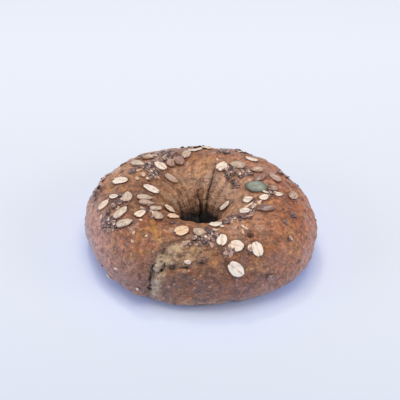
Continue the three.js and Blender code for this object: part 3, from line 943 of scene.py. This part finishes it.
def flatten_ball(target, scale):
    """Scales the whole form in edit mode, so that the object itself stays unscaled."""
    bpy.ops.object.mode_set(mode="EDIT")
    bpy.ops.mesh.select_all(action="SELECT")
    bpy.ops.transform.resize(value=scale)
    bpy.ops.object.mode_set(mode="OBJECT")


def make_blunt(target, roundness):
    """Swells an oval toward a rounded rectangle, seen from above."""
    points = read_points(target.data)
    flat = np.abs(points[:, :2])
    circle = np.hypot(flat[:, 0], flat[:, 1])
    blunt = (flat ** roundness).sum(axis=1) ** (1 / roundness)
    points[:, :2] *= (circle / np.maximum(blunt, 1e-6))[:, None]
    write_points(target.data, points)


# %% [markdown]
# ## Rolled oats
#
# A rolled oat is a whole grain pressed flat: an oval with a blunt, slightly split edge and a groove down
# the middle, where the grain had its crease. So a thin disc is grooved, nicked at one end and curled.
# Four masters differ in outline and in how they curl, and the size and turn of each solid do the rest.

# %% Rolled oat masters
def oat_master(number, cloud_size, nick_side, curl):
    """A flake with its length along X. The nick is at the end that nick_side points to, 1 or -1."""
    oat = start_ball(f"oat_master_{number}", 28, 14)
    flatten_ball(oat, (1, 1, 0.13))
    push(oat, lambda x, y, z: z > 0.04 and abs(y) < 0.1 and abs(x) < 0.75, (0, 0, -0.045), 0.24)
    push(oat, lambda x, y, z: nick_side * x > 0.93 and abs(y) < 0.2, (-0.16 * nick_side, 0, 0), 0.3)
    push(oat, lambda x, y, z: x > 0.9, (0, 0, curl), 0.8)
    push(oat, lambda x, y, z: x < -0.9, (0, 0, curl * 0.6), 0.7)
    push(oat, lambda x, y, z: y > 0.9 and nick_side * x < 0.3, (0, 0, curl * 0.5), 0.5)
    displace(oat, f"oat_edge_{number}", cloud_size, 0.22, 2)
    return oat


oat_masters = [
    oat_master(1, 0.55, 1, 0.10), oat_master(2, 0.42, -1, 0.16),
    oat_master(3, 0.70, 1, 0.05), oat_master(4, 0.48, -1, 0.22)]
print("oat master has", len(oat_masters[0].data.polygons), "faces")

# %% [markdown]
# ## Kernels and seeds
#
# Sunflower and pumpkin kernels and linseeds are all drops: plump, with one end drawn out to a tip. One
# function makes them, and the numbers say how plump and how pointed each is. A sunflower kernel is then
# made blunter, with a low ridge, and a pumpkin kernel gets the shallow moat inside its rim.

# %% Kernel and seed masters
def kernel_master(name, segments, rings, plumpness, tip_sharpness, roughness):
    """A drop: plump, with its tip drawn out toward +X."""
    kernel = start_ball(name, segments, rings)
    flatten_ball(kernel, (1, 1, plumpness))
    squeeze(kernel, lambda x, y, z: x > 0.8, (1, tip_sharpness, 0.6), (1, 0, 0), 1.1)
    push(kernel, lambda x, y, z: x > 0.97, (0.05, 0, 0), 0.4)
    displace(kernel, f"{name}_skin", 0.5, roughness, 1)
    return kernel


sunflower_master = kernel_master("sunflower_master", 24, 12, 0.5, 0.66, 0.2)
make_blunt(sunflower_master, 2.7)
push(sunflower_master, lambda x, y, z: z > 0.35 and abs(y) < 0.12 and x < 0.5, (0, 0, 0.05), 0.5)
pumpkin_master = kernel_master("pumpkin_master", 32, 18, 0.34, 0.8, 0.05)
push(pumpkin_master, lambda x, y, z: z > 0 and 0.66 < math.hypot(x, y) < 0.8, (0, 0, -0.05), 0.14)
linseed_master = kernel_master("linseed_master", 16, 10, 0.42, 0.3, 0.02)
small_seed_master = kernel_master("small_seed_master", 10, 6, 0.45, 0.5, 0.02)
crumb_master = kernel_master("crumb_master", 7, 5, 0.7, 0.8, 0.5)
print("small seed has", len(small_seed_master.data.polygons), "faces")

# %% [markdown]
# ## Laying toppings on the crust
#
# A topping takes its place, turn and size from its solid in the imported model. The solid's longest and
# shortest ways give its axes. A copy of the master is scaled to them, and each of its points is lowered
# onto the crust along the solid's normal, because a damp flake follows the bread it dries on. A
# Shrinkwrap modifier would press it flat onto every bump, while this follows the crust by a share only.

# %% Placing helpers
CAST_FROM = 0.006
crust_tree = BVHTree.FromPolygons(
    [tuple(point) for point in read_points(bread.data)],
    [tuple(face.vertices) for face in bread.data.polygons])


def crust_height(point, normal):
    """How far the crust is above a point, along a normal, or 0 where there is none near."""
    hit, _, _, distance = crust_tree.ray_cast(point + normal * CAST_FROM, -normal, 2.5 * CAST_FROM)
    return 0.0 if hit is None else CAST_FROM - distance


def keep_own_place(mesh, places):
    """Stores each corner's place on the topping itself, which the grain of its material follows."""
    own_place = mesh.attributes.new("own_place", "FLOAT_VECTOR", "POINT")
    own_place.data.foreach_set("vector", places.ravel())


def add_piece(name, mesh):
    """Puts a mesh into the scene, with its faces shaded smooth."""
    mesh.polygons.foreach_set("use_smooth", [True] * len(mesh.polygons))
    piece = bpy.data.objects.new(name, mesh)
    bpy.context.collection.objects.link(piece)
    return piece


def lay_copy(master, name, axes, thickness, follow, sink):
    """Copies a master, scales it to the solid and lowers it onto the crust. Returns the new piece."""
    centre, long_way, cross_way, normal, length, width = axes
    mesh = master.data.copy()
    mesh.name = name
    unit = read_points(mesh)
    reach = np.abs(unit).max(axis=0)
    middle_height = crust_height(centre, normal)
    placed = np.empty_like(unit)
    for index, (x, y, z) in enumerate(unit):
        flat = centre + long_way * (x / reach[0] * length / 2) + cross_way * (y / reach[1] * width / 2)
        height = crust_height(flat, normal)
        height = middle_height + follow * (height - middle_height)
        placed[index] = flat + normal * (height - sink + (z / reach[2] + 1) * thickness / 2)
    write_points(mesh, placed)
    keep_own_place(mesh, unit * [length / 2, width / 2, thickness / 2])
    return add_piece(name, mesh)


def dress(piece, node_name, material, tone):
    """Gives a piece its tone and material, and its place in the assembly."""
    keep_values(piece.data, "tone", np.full(len(piece.data.vertices), tone))
    piece.data.materials.append(material)
    if node_name:
        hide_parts(node_name)
    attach(piece, "root")


# %% [markdown]
# ## Rolled oat material
#
# A rolled oat is steamed and pressed starch: dull, floury and cream-coloured, with fibres along the
# flake and tan bran left in its groove. Every topping has its own tone, a number from 0 to 1 stored on
# its mesh, which moves its colour within its kind. Patterns that follow the grain read the topping's own
# place, also stored on the mesh. It is shifted by the tone, so that no two flakes show the same fibres.

# %% Rolled oat: pressed starchy flake, dull and floury
# Between water and dry starch, as for the crust.
OAT_IOR = 1.45
OWN_PLACE, OWN_TONE = {"attribute_name": "own_place"}, {"attribute_name": "tone"}
MULTIPLY_ADD = {"operation": "MULTIPLY_ADD"}
SHIFT_BY_TONE = (0.11, 0.23, 0.31)

m = oat_material = new_material("rolled_oat")
own = add_node(m, "Attribute", OWN_PLACE, output="Vector")
tone = add_node(m, "Attribute", OWN_TONE, output="Fac")
scattered = add_node(m, "VectorMath", MULTIPLY_ADD, (tone, SHIFT_BY_TONE, own))
# Fibres about 3 mm long and 0.8 mm wide, coarser than real ones so that they still show.
fibre_place = add_node(m, "Mapping", {"Vector": scattered, "Scale": (1, 4, 1)})
fibres = add_node(m, "TexNoise", {"Vector": fibre_place, "Scale": 320.0, "Detail": 3.0, "Roughness": 0.6})
# Flour lies in clouds of 1.7 mm.
flour = add_node(m, "TexNoise", {"Vector": scattered, "Scale": 600.0, "Detail": 2.0})
across_flake = add_node(m, "SeparateXYZ", {"Vector": own}, output="Y")
off_groove = add_node(m, "Math", {"operation": "ABSOLUTE"}, (across_flake,))
groove = add_node(m, "MapRange", {}, (off_groove, 0.00005, 0.0007, 0.6, 0.0))
broken_up = add_node(m, "MapRange", {}, (flour, 0.36, 0.54))

oat_colour = linear("#fdf3f0")
for share, colour in (
        (tone, "#f4d0b4"),
        (add_node(m, "MapRange", {}, (fibres, 0.48, 0.7, 0.0, 0.7)), "#cfae94"),
        (add_node(m, "MapRange", {}, (flour, 0.5, 0.7, 0.0, 0.5)), "#fdf8f0"),
        (add_node(m, "Math", MULTIPLY, (groove, broken_up)), "#b3845a")):
    oat_colour = add_node(
        m, "Mix", MIX | {FACTOR: share, FIRST: oat_colour, SECOND: linear(colour)}, output=MIXED)
oat_bump = add_node(m, "Bump", {"Strength": 0.5, "Distance": 0.0002, "Height": fibres})
oat_shader = add_node(m, "BsdfPrincipled", {
    "Base Color": oat_colour, "Normal": oat_bump, "IOR": OAT_IOR, "Roughness": 0.7,
    "Subsurface Weight": 0.2, "Subsurface Radius": (1.0, 0.7, 0.45), "Subsurface Scale": 0.0008})
add_node(m, "OutputMaterial", {"Surface": oat_shader})
print("rolled oat has", len(m.node_tree.nodes), "nodes")

# %% [markdown]
# ## Sunflower kernel material
#
# A shelled sunflower kernel has a thin grey-brown skin that turns faintly oily in the oven, so it is
# satin under a weak clear coat. Darker lines run along it. Its tone is how toasted it is, and a colour
# ramp gives the browns between raw and toasted, which no mix of two colours would.

# %% Sunflower kernel: toasted, faintly oily skin with darker lines along it
OILY_SKIN_IOR = 1.47
KERNEL_TONES = [(0.0, "#e8d6cc"), (0.3, "#d8c2b3"), (0.6, "#c6a496"), (0.85, "#a98078"), (1.0, "#8c6a6e")]


def fill_ramp(ramp, stops):
    """Gives a colour ramp its stops, each a position and a hex colour."""
    elements = ramp.node.color_ramp.elements
    for element, (position, colour) in zip(elements, (stops[0], stops[-1])):
        element.position, element.color = position, linear(colour)
    for position, colour in stops[1:-1]:
        elements.new(position).color = linear(colour)


m = sunflower_material = new_material("toasted_sunflower_kernel")
own = add_node(m, "Attribute", OWN_PLACE, output="Vector")
tone = add_node(m, "Attribute", OWN_TONE, output="Fac")
scattered = add_node(m, "VectorMath", MULTIPLY_ADD, (tone, SHIFT_BY_TONE, own))
# Streaks 3 mm long and 0.5 mm wide, and toasted clouds of 3.3 mm.
streak_place = add_node(m, "Mapping", {"Vector": scattered, "Scale": (1, 6, 2)})
streaks = add_node(m, "TexNoise", {
    "Vector": streak_place, "Scale": 330.0, "Detail": 4.0, "Roughness": 0.65})
toasting = add_node(m, "TexNoise", {"Vector": scattered, "Scale": 300.0, "Detail": 2.0})
kernel_base = add_node(m, "ValToRGB", {"Fac": tone})
fill_ramp(kernel_base, KERNEL_TONES)
streak_tone = add_node(m, "MapRange", {}, (streaks, 0.40, 0.60, 1.18, 0.60))
streaked = add_node(
    m, "Mix", SHADE | {FACTOR: 1.0, FIRST: kernel_base, SECOND: streak_tone}, output=MIXED)
dusty = add_node(m, "MapRange", {}, (toasting, 0.48, 0.72, 0.0, 0.45))
kernel_colour = add_node(
    m, "Mix", MIX | {FACTOR: dusty, FIRST: streaked, SECOND: linear("#ead9cc")}, output=MIXED)
kernel_bump = add_node(m, "Bump", {"Strength": 0.5, "Distance": 0.0002, "Height": streaks})
kernel_shader = add_node(m, "BsdfPrincipled", {
    "Base Color": kernel_colour, "Normal": kernel_bump, "IOR": OILY_SKIN_IOR, "Roughness": 0.36,
    "Coat Weight": 0.2, "Coat Roughness": 0.2})
add_node(m, "OutputMaterial", {"Surface": kernel_shader})
print("sunflower kernel has", len(m.node_tree.nodes), "nodes")

# %% [markdown]
# ## Pumpkin kernel material
#
# The skin of a pumpkin kernel is smooth and papery, grey-green once it is baked, and darker toward its
# rim. The rim could be painted on, but the distance from the kernel's middle, drawn in along its width,
# gives it in two nodes and follows the outline.

# %% Pumpkin kernel: smooth papery skin, grey-green, darker toward its rim
m = pumpkin_material = new_material("pumpkin_kernel_skin")
own = add_node(m, "Attribute", OWN_PLACE, output="Vector")
rim_place = add_node(m, "Mapping", {"Vector": own, "Scale": (1, 1.7, 0)})
from_centre = add_node(m, "VectorMath", {"operation": "LENGTH"}, (rim_place,), "Value")
rim = add_node(m, "MapRange", {}, (from_centre, 0.0036, 0.0056))
# A mottle of 2.4 mm.
mottle = add_node(m, "TexNoise", {"Vector": own, "Scale": 420.0, "Detail": 3.0, "Roughness": 0.6})
mottle_share = add_node(m, "MapRange", {}, (mottle, 0.4, 0.7))
pumpkin_colour = linear("#89908a")
for share, colour in ((mottle_share, "#a9aea6"), (rim, "#5d6661")):
    pumpkin_colour = add_node(
        m, "Mix", MIX | {FACTOR: share, FIRST: pumpkin_colour, SECOND: linear(colour)}, output=MIXED)
pumpkin_bump = add_node(m, "Bump", {"Strength": 0.3, "Distance": 0.0002, "Height": mottle})
pumpkin_shader = add_node(m, "BsdfPrincipled", {
    "Base Color": pumpkin_colour, "Normal": pumpkin_bump, "IOR": OILY_SKIN_IOR, "Roughness": 0.4})
add_node(m, "OutputMaterial", {"Surface": pumpkin_shader})
print("pumpkin kernel has", len(m.node_tree.nodes), "nodes")

# %% [markdown]
# ## Linseed material
#
# A linseed has a hard glossy coat of dried gum over a dark maroon seed, so it gets a full clear coat. The
# coat's index of refraction starts from gum's 1.5 and is raised until the seeds glint as real ones do.
# The other small seeds on a bagel differ mostly in colour, from mauve to the cream of sesame, so they
# share this material and the tone picks the colour from a ramp.

# %% Linseed and other small seeds: hard glossy coat, dark maroon to mauve and cream
SEED_IOR = 1.5
GUM_IOR = 1.6
SEED_TONES = [
    (0.0, "#40262b"), (0.25, "#6c484c"), (0.5, "#9c786f"), (0.75, "#bd9788"), (0.86, "#cfa694"),
    (1.0, "#f0dccc")]

m = linseed_material = new_material("linseed_coat")
own = add_node(m, "Attribute", OWN_PLACE, output="Vector")
tone = add_node(m, "Attribute", OWN_TONE, output="Fac")
# A mottle of 1.1 mm.
seed_mottle = add_node(m, "TexNoise", {"Vector": own, "Scale": 900.0, "Detail": 2.0})
seed_base = add_node(m, "ValToRGB", {"Fac": tone})
fill_ramp(seed_base, SEED_TONES)
mottle_tone = add_node(m, "MapRange", {}, (seed_mottle, 0.3, 0.7, 0.75, 1.2))
seed_colour = add_node(
    m, "Mix", SHADE | {FACTOR: 1.0, FIRST: seed_base, SECOND: mottle_tone}, output=MIXED)
seed_shader = add_node(m, "BsdfPrincipled", {
    "Base Color": seed_colour, "IOR": SEED_IOR, "Roughness": 0.3, "Coat Weight": 1.0,
    "Coat Roughness": 0.14, "Coat IOR": GUM_IOR})
add_node(m, "OutputMaterial", {"Surface": seed_shader})
print("linseed has", len(m.node_tree.nodes), "nodes")

# %% [markdown]
# ## The large toppings
#
# Each of the toppings that have a solid of their own is laid now. A flake is thin and follows the crust
# closely; a kernel is stiff, so it bridges small hollows and sinks in a little more. The pumpkin kernel
# rests on seeds with its near edge, so it is propped up.

# %% Lay the large toppings
# How each kind lies: thickness, how closely it follows the crust from 0 to 1, and how deep it sinks.
OAT_LIES = (0.0014, 0.75, 0.0002)
SUNFLOWER_LIES = (0.0025, 0.5, 0.0005)
LINSEED_LIES = (0.0012, 0.3, 0.0003)
PUMPKIN_LIES = (0.0031, 0.3, 0.0003)
FLAKE_TONES = {"oat_flake_17": 1.0, "oat_flake_19": 0.9, "oat_flake_18": 0.6}
# How toasted each sunflower kernel is, from 0 to 1, in the order of their numbers.
TOASTING = [
    0.25, 0.5, 0.4, 0.6, 0.85, 0.75, 0.25, 0.35, 0.6, 0.3, 0.1,
    0.2, 0.5, 0.45, 0.6, 0.9, 0.6, 0.8, 0.55, 1.0, 0.45]

chance = random.Random(7)
node_names = sorted(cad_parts)
for number, node_name in enumerate(name for name in node_names if name.startswith("oat_flake")):
    flake = lay_copy(oat_masters[number % 4], node_name + "_skin", solid_axes(node_name), *OAT_LIES)
    dress(flake, node_name, oat_material, FLAKE_TONES.get(node_name, 0.4 * chance.random()))
kernel_names = [name for name in node_names if name.startswith("sunflower_kernel")]
for node_name, toasted in zip(kernel_names, TOASTING):
    kernel = lay_copy(sunflower_master, node_name + "_skin", solid_axes(node_name), *SUNFLOWER_LIES)
    dress(kernel, node_name, sunflower_material, toasted)
for node_name in (name for name in node_names if name.startswith("linseed")):
    seed = lay_copy(linseed_master, node_name + "_skin", solid_axes(node_name), *LINSEED_LIES)
    dress(seed, node_name, linseed_material, 0.1 + 0.4 * chance.random())
print("laid", len(node_names) - 2, "flakes, kernels and linseeds")

# %% Prop up the pumpkin kernel
PROPPED_UP = Vector((0, -0.35, 0))
PROPPED_LIFT = 0.0005
PROPPED_WIDTH = 1.12
centre, long_way, _, normal, length, width = solid_axes("pumpkin_kernel")
normal = (normal + PROPPED_UP).normalized()
cross_way = normal.cross(long_way).normalized()
propped_axes = (
    centre + normal * PROPPED_LIFT, cross_way.cross(normal), cross_way, normal, length,
    PROPPED_WIDTH * width)
pumpkin = lay_copy(pumpkin_master, "pumpkin_kernel_skin", propped_axes, *PUMPKIN_LIES)
dress(pumpkin, "pumpkin_kernel", pumpkin_material, 0.5)
print("pumpkin kernel is", round(length / MM, 1), "mm long")

# %% [markdown]
# ## Seeds in beds
#
# Hundreds of small seeds and crumbs lie in crowded beds. Each bed is one mesh: its seeds are copies of
# the small master, thrown at random within an oval, each turned and half sunk. A particle system could
# throw them too, but here each one also gets a shape, a sink and a tone of its own. The random numbers
# start from a fixed seed, so the same bagel is baked every time.

# %% Helpers for small seeds
CRUST_CAST_FROM, CRUST_CAST_REACH = 0.008, 0.03


def crust_spot(around, over, shift_along=0.0, shift_across=0.0):
    """A point of the crust near a spot, with its normal and the way along the ring there."""
    here = ring_points(around, over)
    along_way = ring_points(around + 0.5, over) - ring_points(around - 0.5, over)
    across_way = ring_points(around, over + 0.5) - ring_points(around, over - 0.5)
    outward = Vector(np.cross(along_way, across_way)).normalized()
    along_way, across_way = Vector(along_way).normalized(), Vector(across_way).normalized()
    target = Vector(here) + along_way * shift_along + across_way * shift_across
    cast_from = target + outward * CRUST_CAST_FROM
    hit, normal, _, _ = crust_tree.ray_cast(cast_from, -outward, CRUST_CAST_REACH)
    if hit is None:
        return target, outward, along_way
    return hit, (normal + 2 * outward).normalized(), along_way


def seed_points(unit, spot, turn, tilt, size, sink):
    """The points of one small seed, laid on a spot of the crust."""
    hit, normal, along_way = spot
    long_way = (along_way - normal * along_way.dot(normal)).normalized()
    base = Matrix((long_way, normal.cross(long_way), normal)).transposed()
    turning = Matrix.Rotation(turn, 3, "Z") @ Matrix.Rotation(tilt, 3, "Y")
    scale = np.array(size) / 2
    points = (unit * scale) @ np.array(base @ turning).T
    return points + np.array(hit + normal * (scale[2] * 0.42 - sink))


def join_copies(name, copies):
    """Makes one piece of many small seeds: each copy is points, faces, tone and own places."""
    points, faces, tones, owns = [], [], [], []
    start = 0
    for copy_points, copy_faces, copy_tone, copy_own in copies:
        points.append(copy_points)
        faces.extend([tuple(corner + start for corner in face) for face in copy_faces])
        tones.extend([copy_tone] * len(copy_points))
        owns.append(copy_own)
        start += len(copy_points)
    mesh = bpy.data.meshes.new(name)
    mesh.from_pydata(np.concatenate(points).tolist(), [], faces)
    keep_values(mesh, "tone", tones)
    keep_own_place(mesh, np.concatenate(owns))
    mesh.materials.append(linseed_material)
    piece = add_piece(name, mesh)
    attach(piece, "root")


# %% Throw the small seeds
COAT_TONES = [0.08, 0.12, 0.2, 0.3, 0.45, 0.6, 0.74]
CRUMB_LENGTHS, SEED_LENGTHS = (0.9, 1.6), (2.3, 4.0)
SEED_SINK = 0.0001
ANY_TURN = (0, 6.28)
seed_unit, crumb_unit = read_points(small_seed_master.data), read_points(crumb_master.data)
seed_faces = [tuple(face.vertices) for face in small_seed_master.data.polygons]
crumb_faces = [tuple(face.vertices) for face in crumb_master.data.polygons]
for number, (around, over, half_along, half_across, count, pale_share) in enumerate(SEED_BEDS, 1):
    copies = []
    for _ in range(count):
        angle, spread = chance.uniform(0, 2 * math.pi), math.sqrt(chance.random())
        spot = crust_spot(around, over, math.cos(angle) * spread * half_along * MM,
                          math.sin(angle) * spread * half_across * MM)
        pale = chance.random() < pale_share
        crumb = pale and chance.random() < 0.5 or chance.random() < 0.15
        length = chance.uniform(*(CRUMB_LENGTHS if crumb else SEED_LENGTHS))
        size = length * MM * np.array([1, chance.uniform(0.5, 0.65), chance.uniform(0.4, 0.6)])
        if pale:
            tone = chance.uniform(0.86, 1.0)
        else:
            tone = chance.choice(COAT_TONES) + chance.uniform(-0.08, 0.08)
        unit, faces = (crumb_unit, crumb_faces) if crumb else (seed_unit, seed_faces)
        turn, tilt = chance.uniform(*ANY_TURN), chance.uniform(-0.5, 0.5)
        laid = seed_points(unit, spot, turn, tilt, size, SEED_SINK)
        copies.append((laid, faces, tone, unit * size / 2))
    join_copies(f"seed_bed_{number:02d}", copies)
print("threw", sum(bed[4] for bed in SEED_BEDS), "small seeds")

# %% Lay the lone seeds, and the row of thin linseeds in the hole
LONE_SHAPE, ROW_SHAPE = np.array([1, 0.6, 0.5]), np.array([1, 0.32, 0.4])
LONE_TILT = 0.1
ROW_TURN = math.radians(80)
ROW_SINK = -0.0004
ROW_TONE = 0.05
lone = []
for around, over, length, pale in LONE_SEEDS:
    size = length * LONE_SHAPE * MM
    tone = chance.uniform(0.88, 1.0) if pale else chance.uniform(0.0, 0.2)
    sink = 0.0 if pale else SEED_SINK
    turn = chance.uniform(*ANY_TURN)
    laid = seed_points(seed_unit, crust_spot(around, over), turn, LONE_TILT, size, sink)
    lone.append((laid, seed_faces, tone, seed_unit * size / 2))
for around, over, length in SEED_ROW:
    size = length * ROW_SHAPE * MM
    laid = seed_points(seed_unit, crust_spot(around, over), ROW_TURN, 0.0, size, ROW_SINK)
    lone.append((laid, seed_faces, ROW_TONE, seed_unit * size / 2))
join_copies("lone_seeds", lone)
print("laid", len(lone), "lone seeds")

# %% [markdown]
# ## Loose shreds of oat
#
# Some flakes break when the oats are strewn, and narrow shreds of them lie between the seeds. A shred is
# a whole flake's master made narrow and thin, which keeps its groove and its ragged edge.

# %% Shreds
# Each shred: ring angle, angle over the rope, turn from the ring's way, length and width in mm.
OAT_SHREDS = [
    (333, 112, 40, 6.2, 1.6), (332, 105, 30, 5.5, 1.1), (304, 81, 76, 4.8, 0.9), (356, 94, 135, 4.4, 1.3),
    (325, 42, 88, 2.8, 0.8), (301, 76, 100, 3.4, 0.7), (337, 108, 10, 3.0, 1.2), (290, 100, 60, 3.6, 1.6),
    (283, 92, 20, 3.2, 1.4), (279, 84, 110, 2.8, 1.2), (185, 58, 60, 3.0, 1.0), (150, 84, 20, 3.4, 1.2),
    (208, 96, 140, 2.6, 0.9), (196, 44, 30, 2.8, 1.2),
]
SHRED_LIES = (0.0008, 0.3, 0.0)
for number, (around, over, turn, length, width) in enumerate(OAT_SHREDS, 1):
    hit, normal, along_way = crust_spot(around, over)
    along_way = (along_way - normal * along_way.dot(normal)).normalized()
    across_way = normal.cross(along_way)
    turn = math.radians(turn)
    long_way = along_way * math.cos(turn) - across_way * math.sin(turn)
    axes = (hit, long_way, normal.cross(long_way), normal, length * MM, width * MM)
    shred = lay_copy(oat_masters[number % 4], f"oat_shred_{number:02d}", axes, *SHRED_LIES)
    dress(shred, "", oat_material, 0.5 * chance.random())
print("laid", len(OAT_SHREDS), "shreds")

# %% Put the masters away
for master in [
        *oat_masters, sunflower_master, pumpkin_master, linseed_master, small_seed_master, crumb_master]:
    bpy.data.objects.remove(master)

# %% [markdown]
# ## Floor
#
# The bagel lies on a plain white sheet of matt card. Its colour is painted a little greyer toward the
# front, a painted fall-off of the light. Where the lamps don't reach, beside the bread, only the room's
# bluish light falls on it. The sheet itself glows faintly blue, weakest right under the bread and fading
# farther out: a painted light that gives the soft blue shade that daylight leaves there.

# %% White sheet
bpy.ops.object.select_all(action="DESELECT")
bpy.ops.mesh.primitive_plane_add(size=6)
floor = bpy.context.object
floor.name = "floor"

m = floor_material = new_material("matt_white_sheet")
floor_place = add_node(m, "TexCoord", output="Object")
# Clouds of a third of a metre, hardly to be seen, keep the sheet from looking drawn.
sheet_clouds = add_node(m, "TexNoise", {"Vector": floor_place, "Scale": 3.0, "Detail": 1.0})
# Greyer toward the front: a painted fall-off of the light.
toward_back = add_node(m, "SeparateXYZ", {"Vector": floor_place}, output="Y")
light_falloff_share = add_node(m, "MapRange", {}, (toward_back, -0.15, 0.2))
mottled = add_node(m, "Mix", MIX | {
    FACTOR: sheet_clouds, FIRST: linear("#eff2f2"), SECOND: linear("#f1f4f3")}, output=MIXED)
sheet_colour = add_node(
    m, "Mix", MIX | {FACTOR: light_falloff_share, FIRST: linear("#d8dede"), SECOND: mottled}, output=MIXED)
# The sheet's own faint blue glow is a painted light that stands in for the blue shade beside the bread.
from_middle = add_node(m, "VectorMath", {"operation": "LENGTH"}, (floor_place,), "Value")
glow_beside = add_node(m, "MapRange", {}, (from_middle, 0.042, 0.056, 0.03, 0.34))
glow_fading = add_node(m, "MapRange", {}, (from_middle, 0.058, 0.085, 1.0, 0.70))
glow = add_node(m, "Math", MULTIPLY, (glow_beside, glow_fading))
sheet_shader = add_node(m, "BsdfPrincipled", {
    "Base Color": sheet_colour, "Roughness": 0.9, "Specular IOR Level": 0.1,
    "Emission Color": linear("#4f8dff"), "Emission Strength": glow})
add_node(m, "OutputMaterial", {"Surface": sheet_shader})
floor.data.materials.append(floor_material)
print("sheet has", len(m.node_tree.nodes), "nodes")

# %% [markdown]
# ## Light
#
# A broad lamp above, leaning to the front, lights the crest. A small window behind draws the crisp
# shadow edge and the highlights on the glossy seeds. Two white cards, one at each side, brighten the
# flanks, as in a studio. The white room fills in the rest.

# %% Lights
def soft_light(name, location, target, size, power, colour):
    """A round lamp of the given width that shines from its location toward a target."""
    bpy.ops.object.light_add(type="AREA", location=location)
    lamp = bpy.context.object
    lamp.name = name
    lamp.data.shape = "DISK"
    lamp.data.size = size
    lamp.data.energy = power
    lamp.data.color = linear(colour)[:3]
    lamp.rotation_euler = (Vector(target) - Vector(location)).to_track_quat("-Z", "Y").to_euler()


soft_light("lamp_above", (0.02, -0.12, 1.15), (0, 0, 0), 0.8, 5.4, "#fff1d0")
soft_light("small_window", (-0.15, 0.35, 1.1), (0, 0, 0.02), 0.22, 1.8, "#fffaf0")
soft_light("white_card_left", (-0.6, -0.25, 0.25), (0, 0, 0), 0.5, 1.0, "#eef2ff")
soft_light("white_card_right", (0.6, -0.30, 0.25), (0, 0, 0), 0.5, 1.2, "#ffffff")
world = bpy.data.worlds.new("daylight_room")
world.use_nodes = True
world.node_tree.nodes["Background"].inputs["Color"].default_value = linear("#ffffff")
world.node_tree.nodes["Background"].inputs["Strength"].default_value = 0.40
bpy.context.scene.world = world
bpy.context.scene.view_settings.view_transform = "Standard"
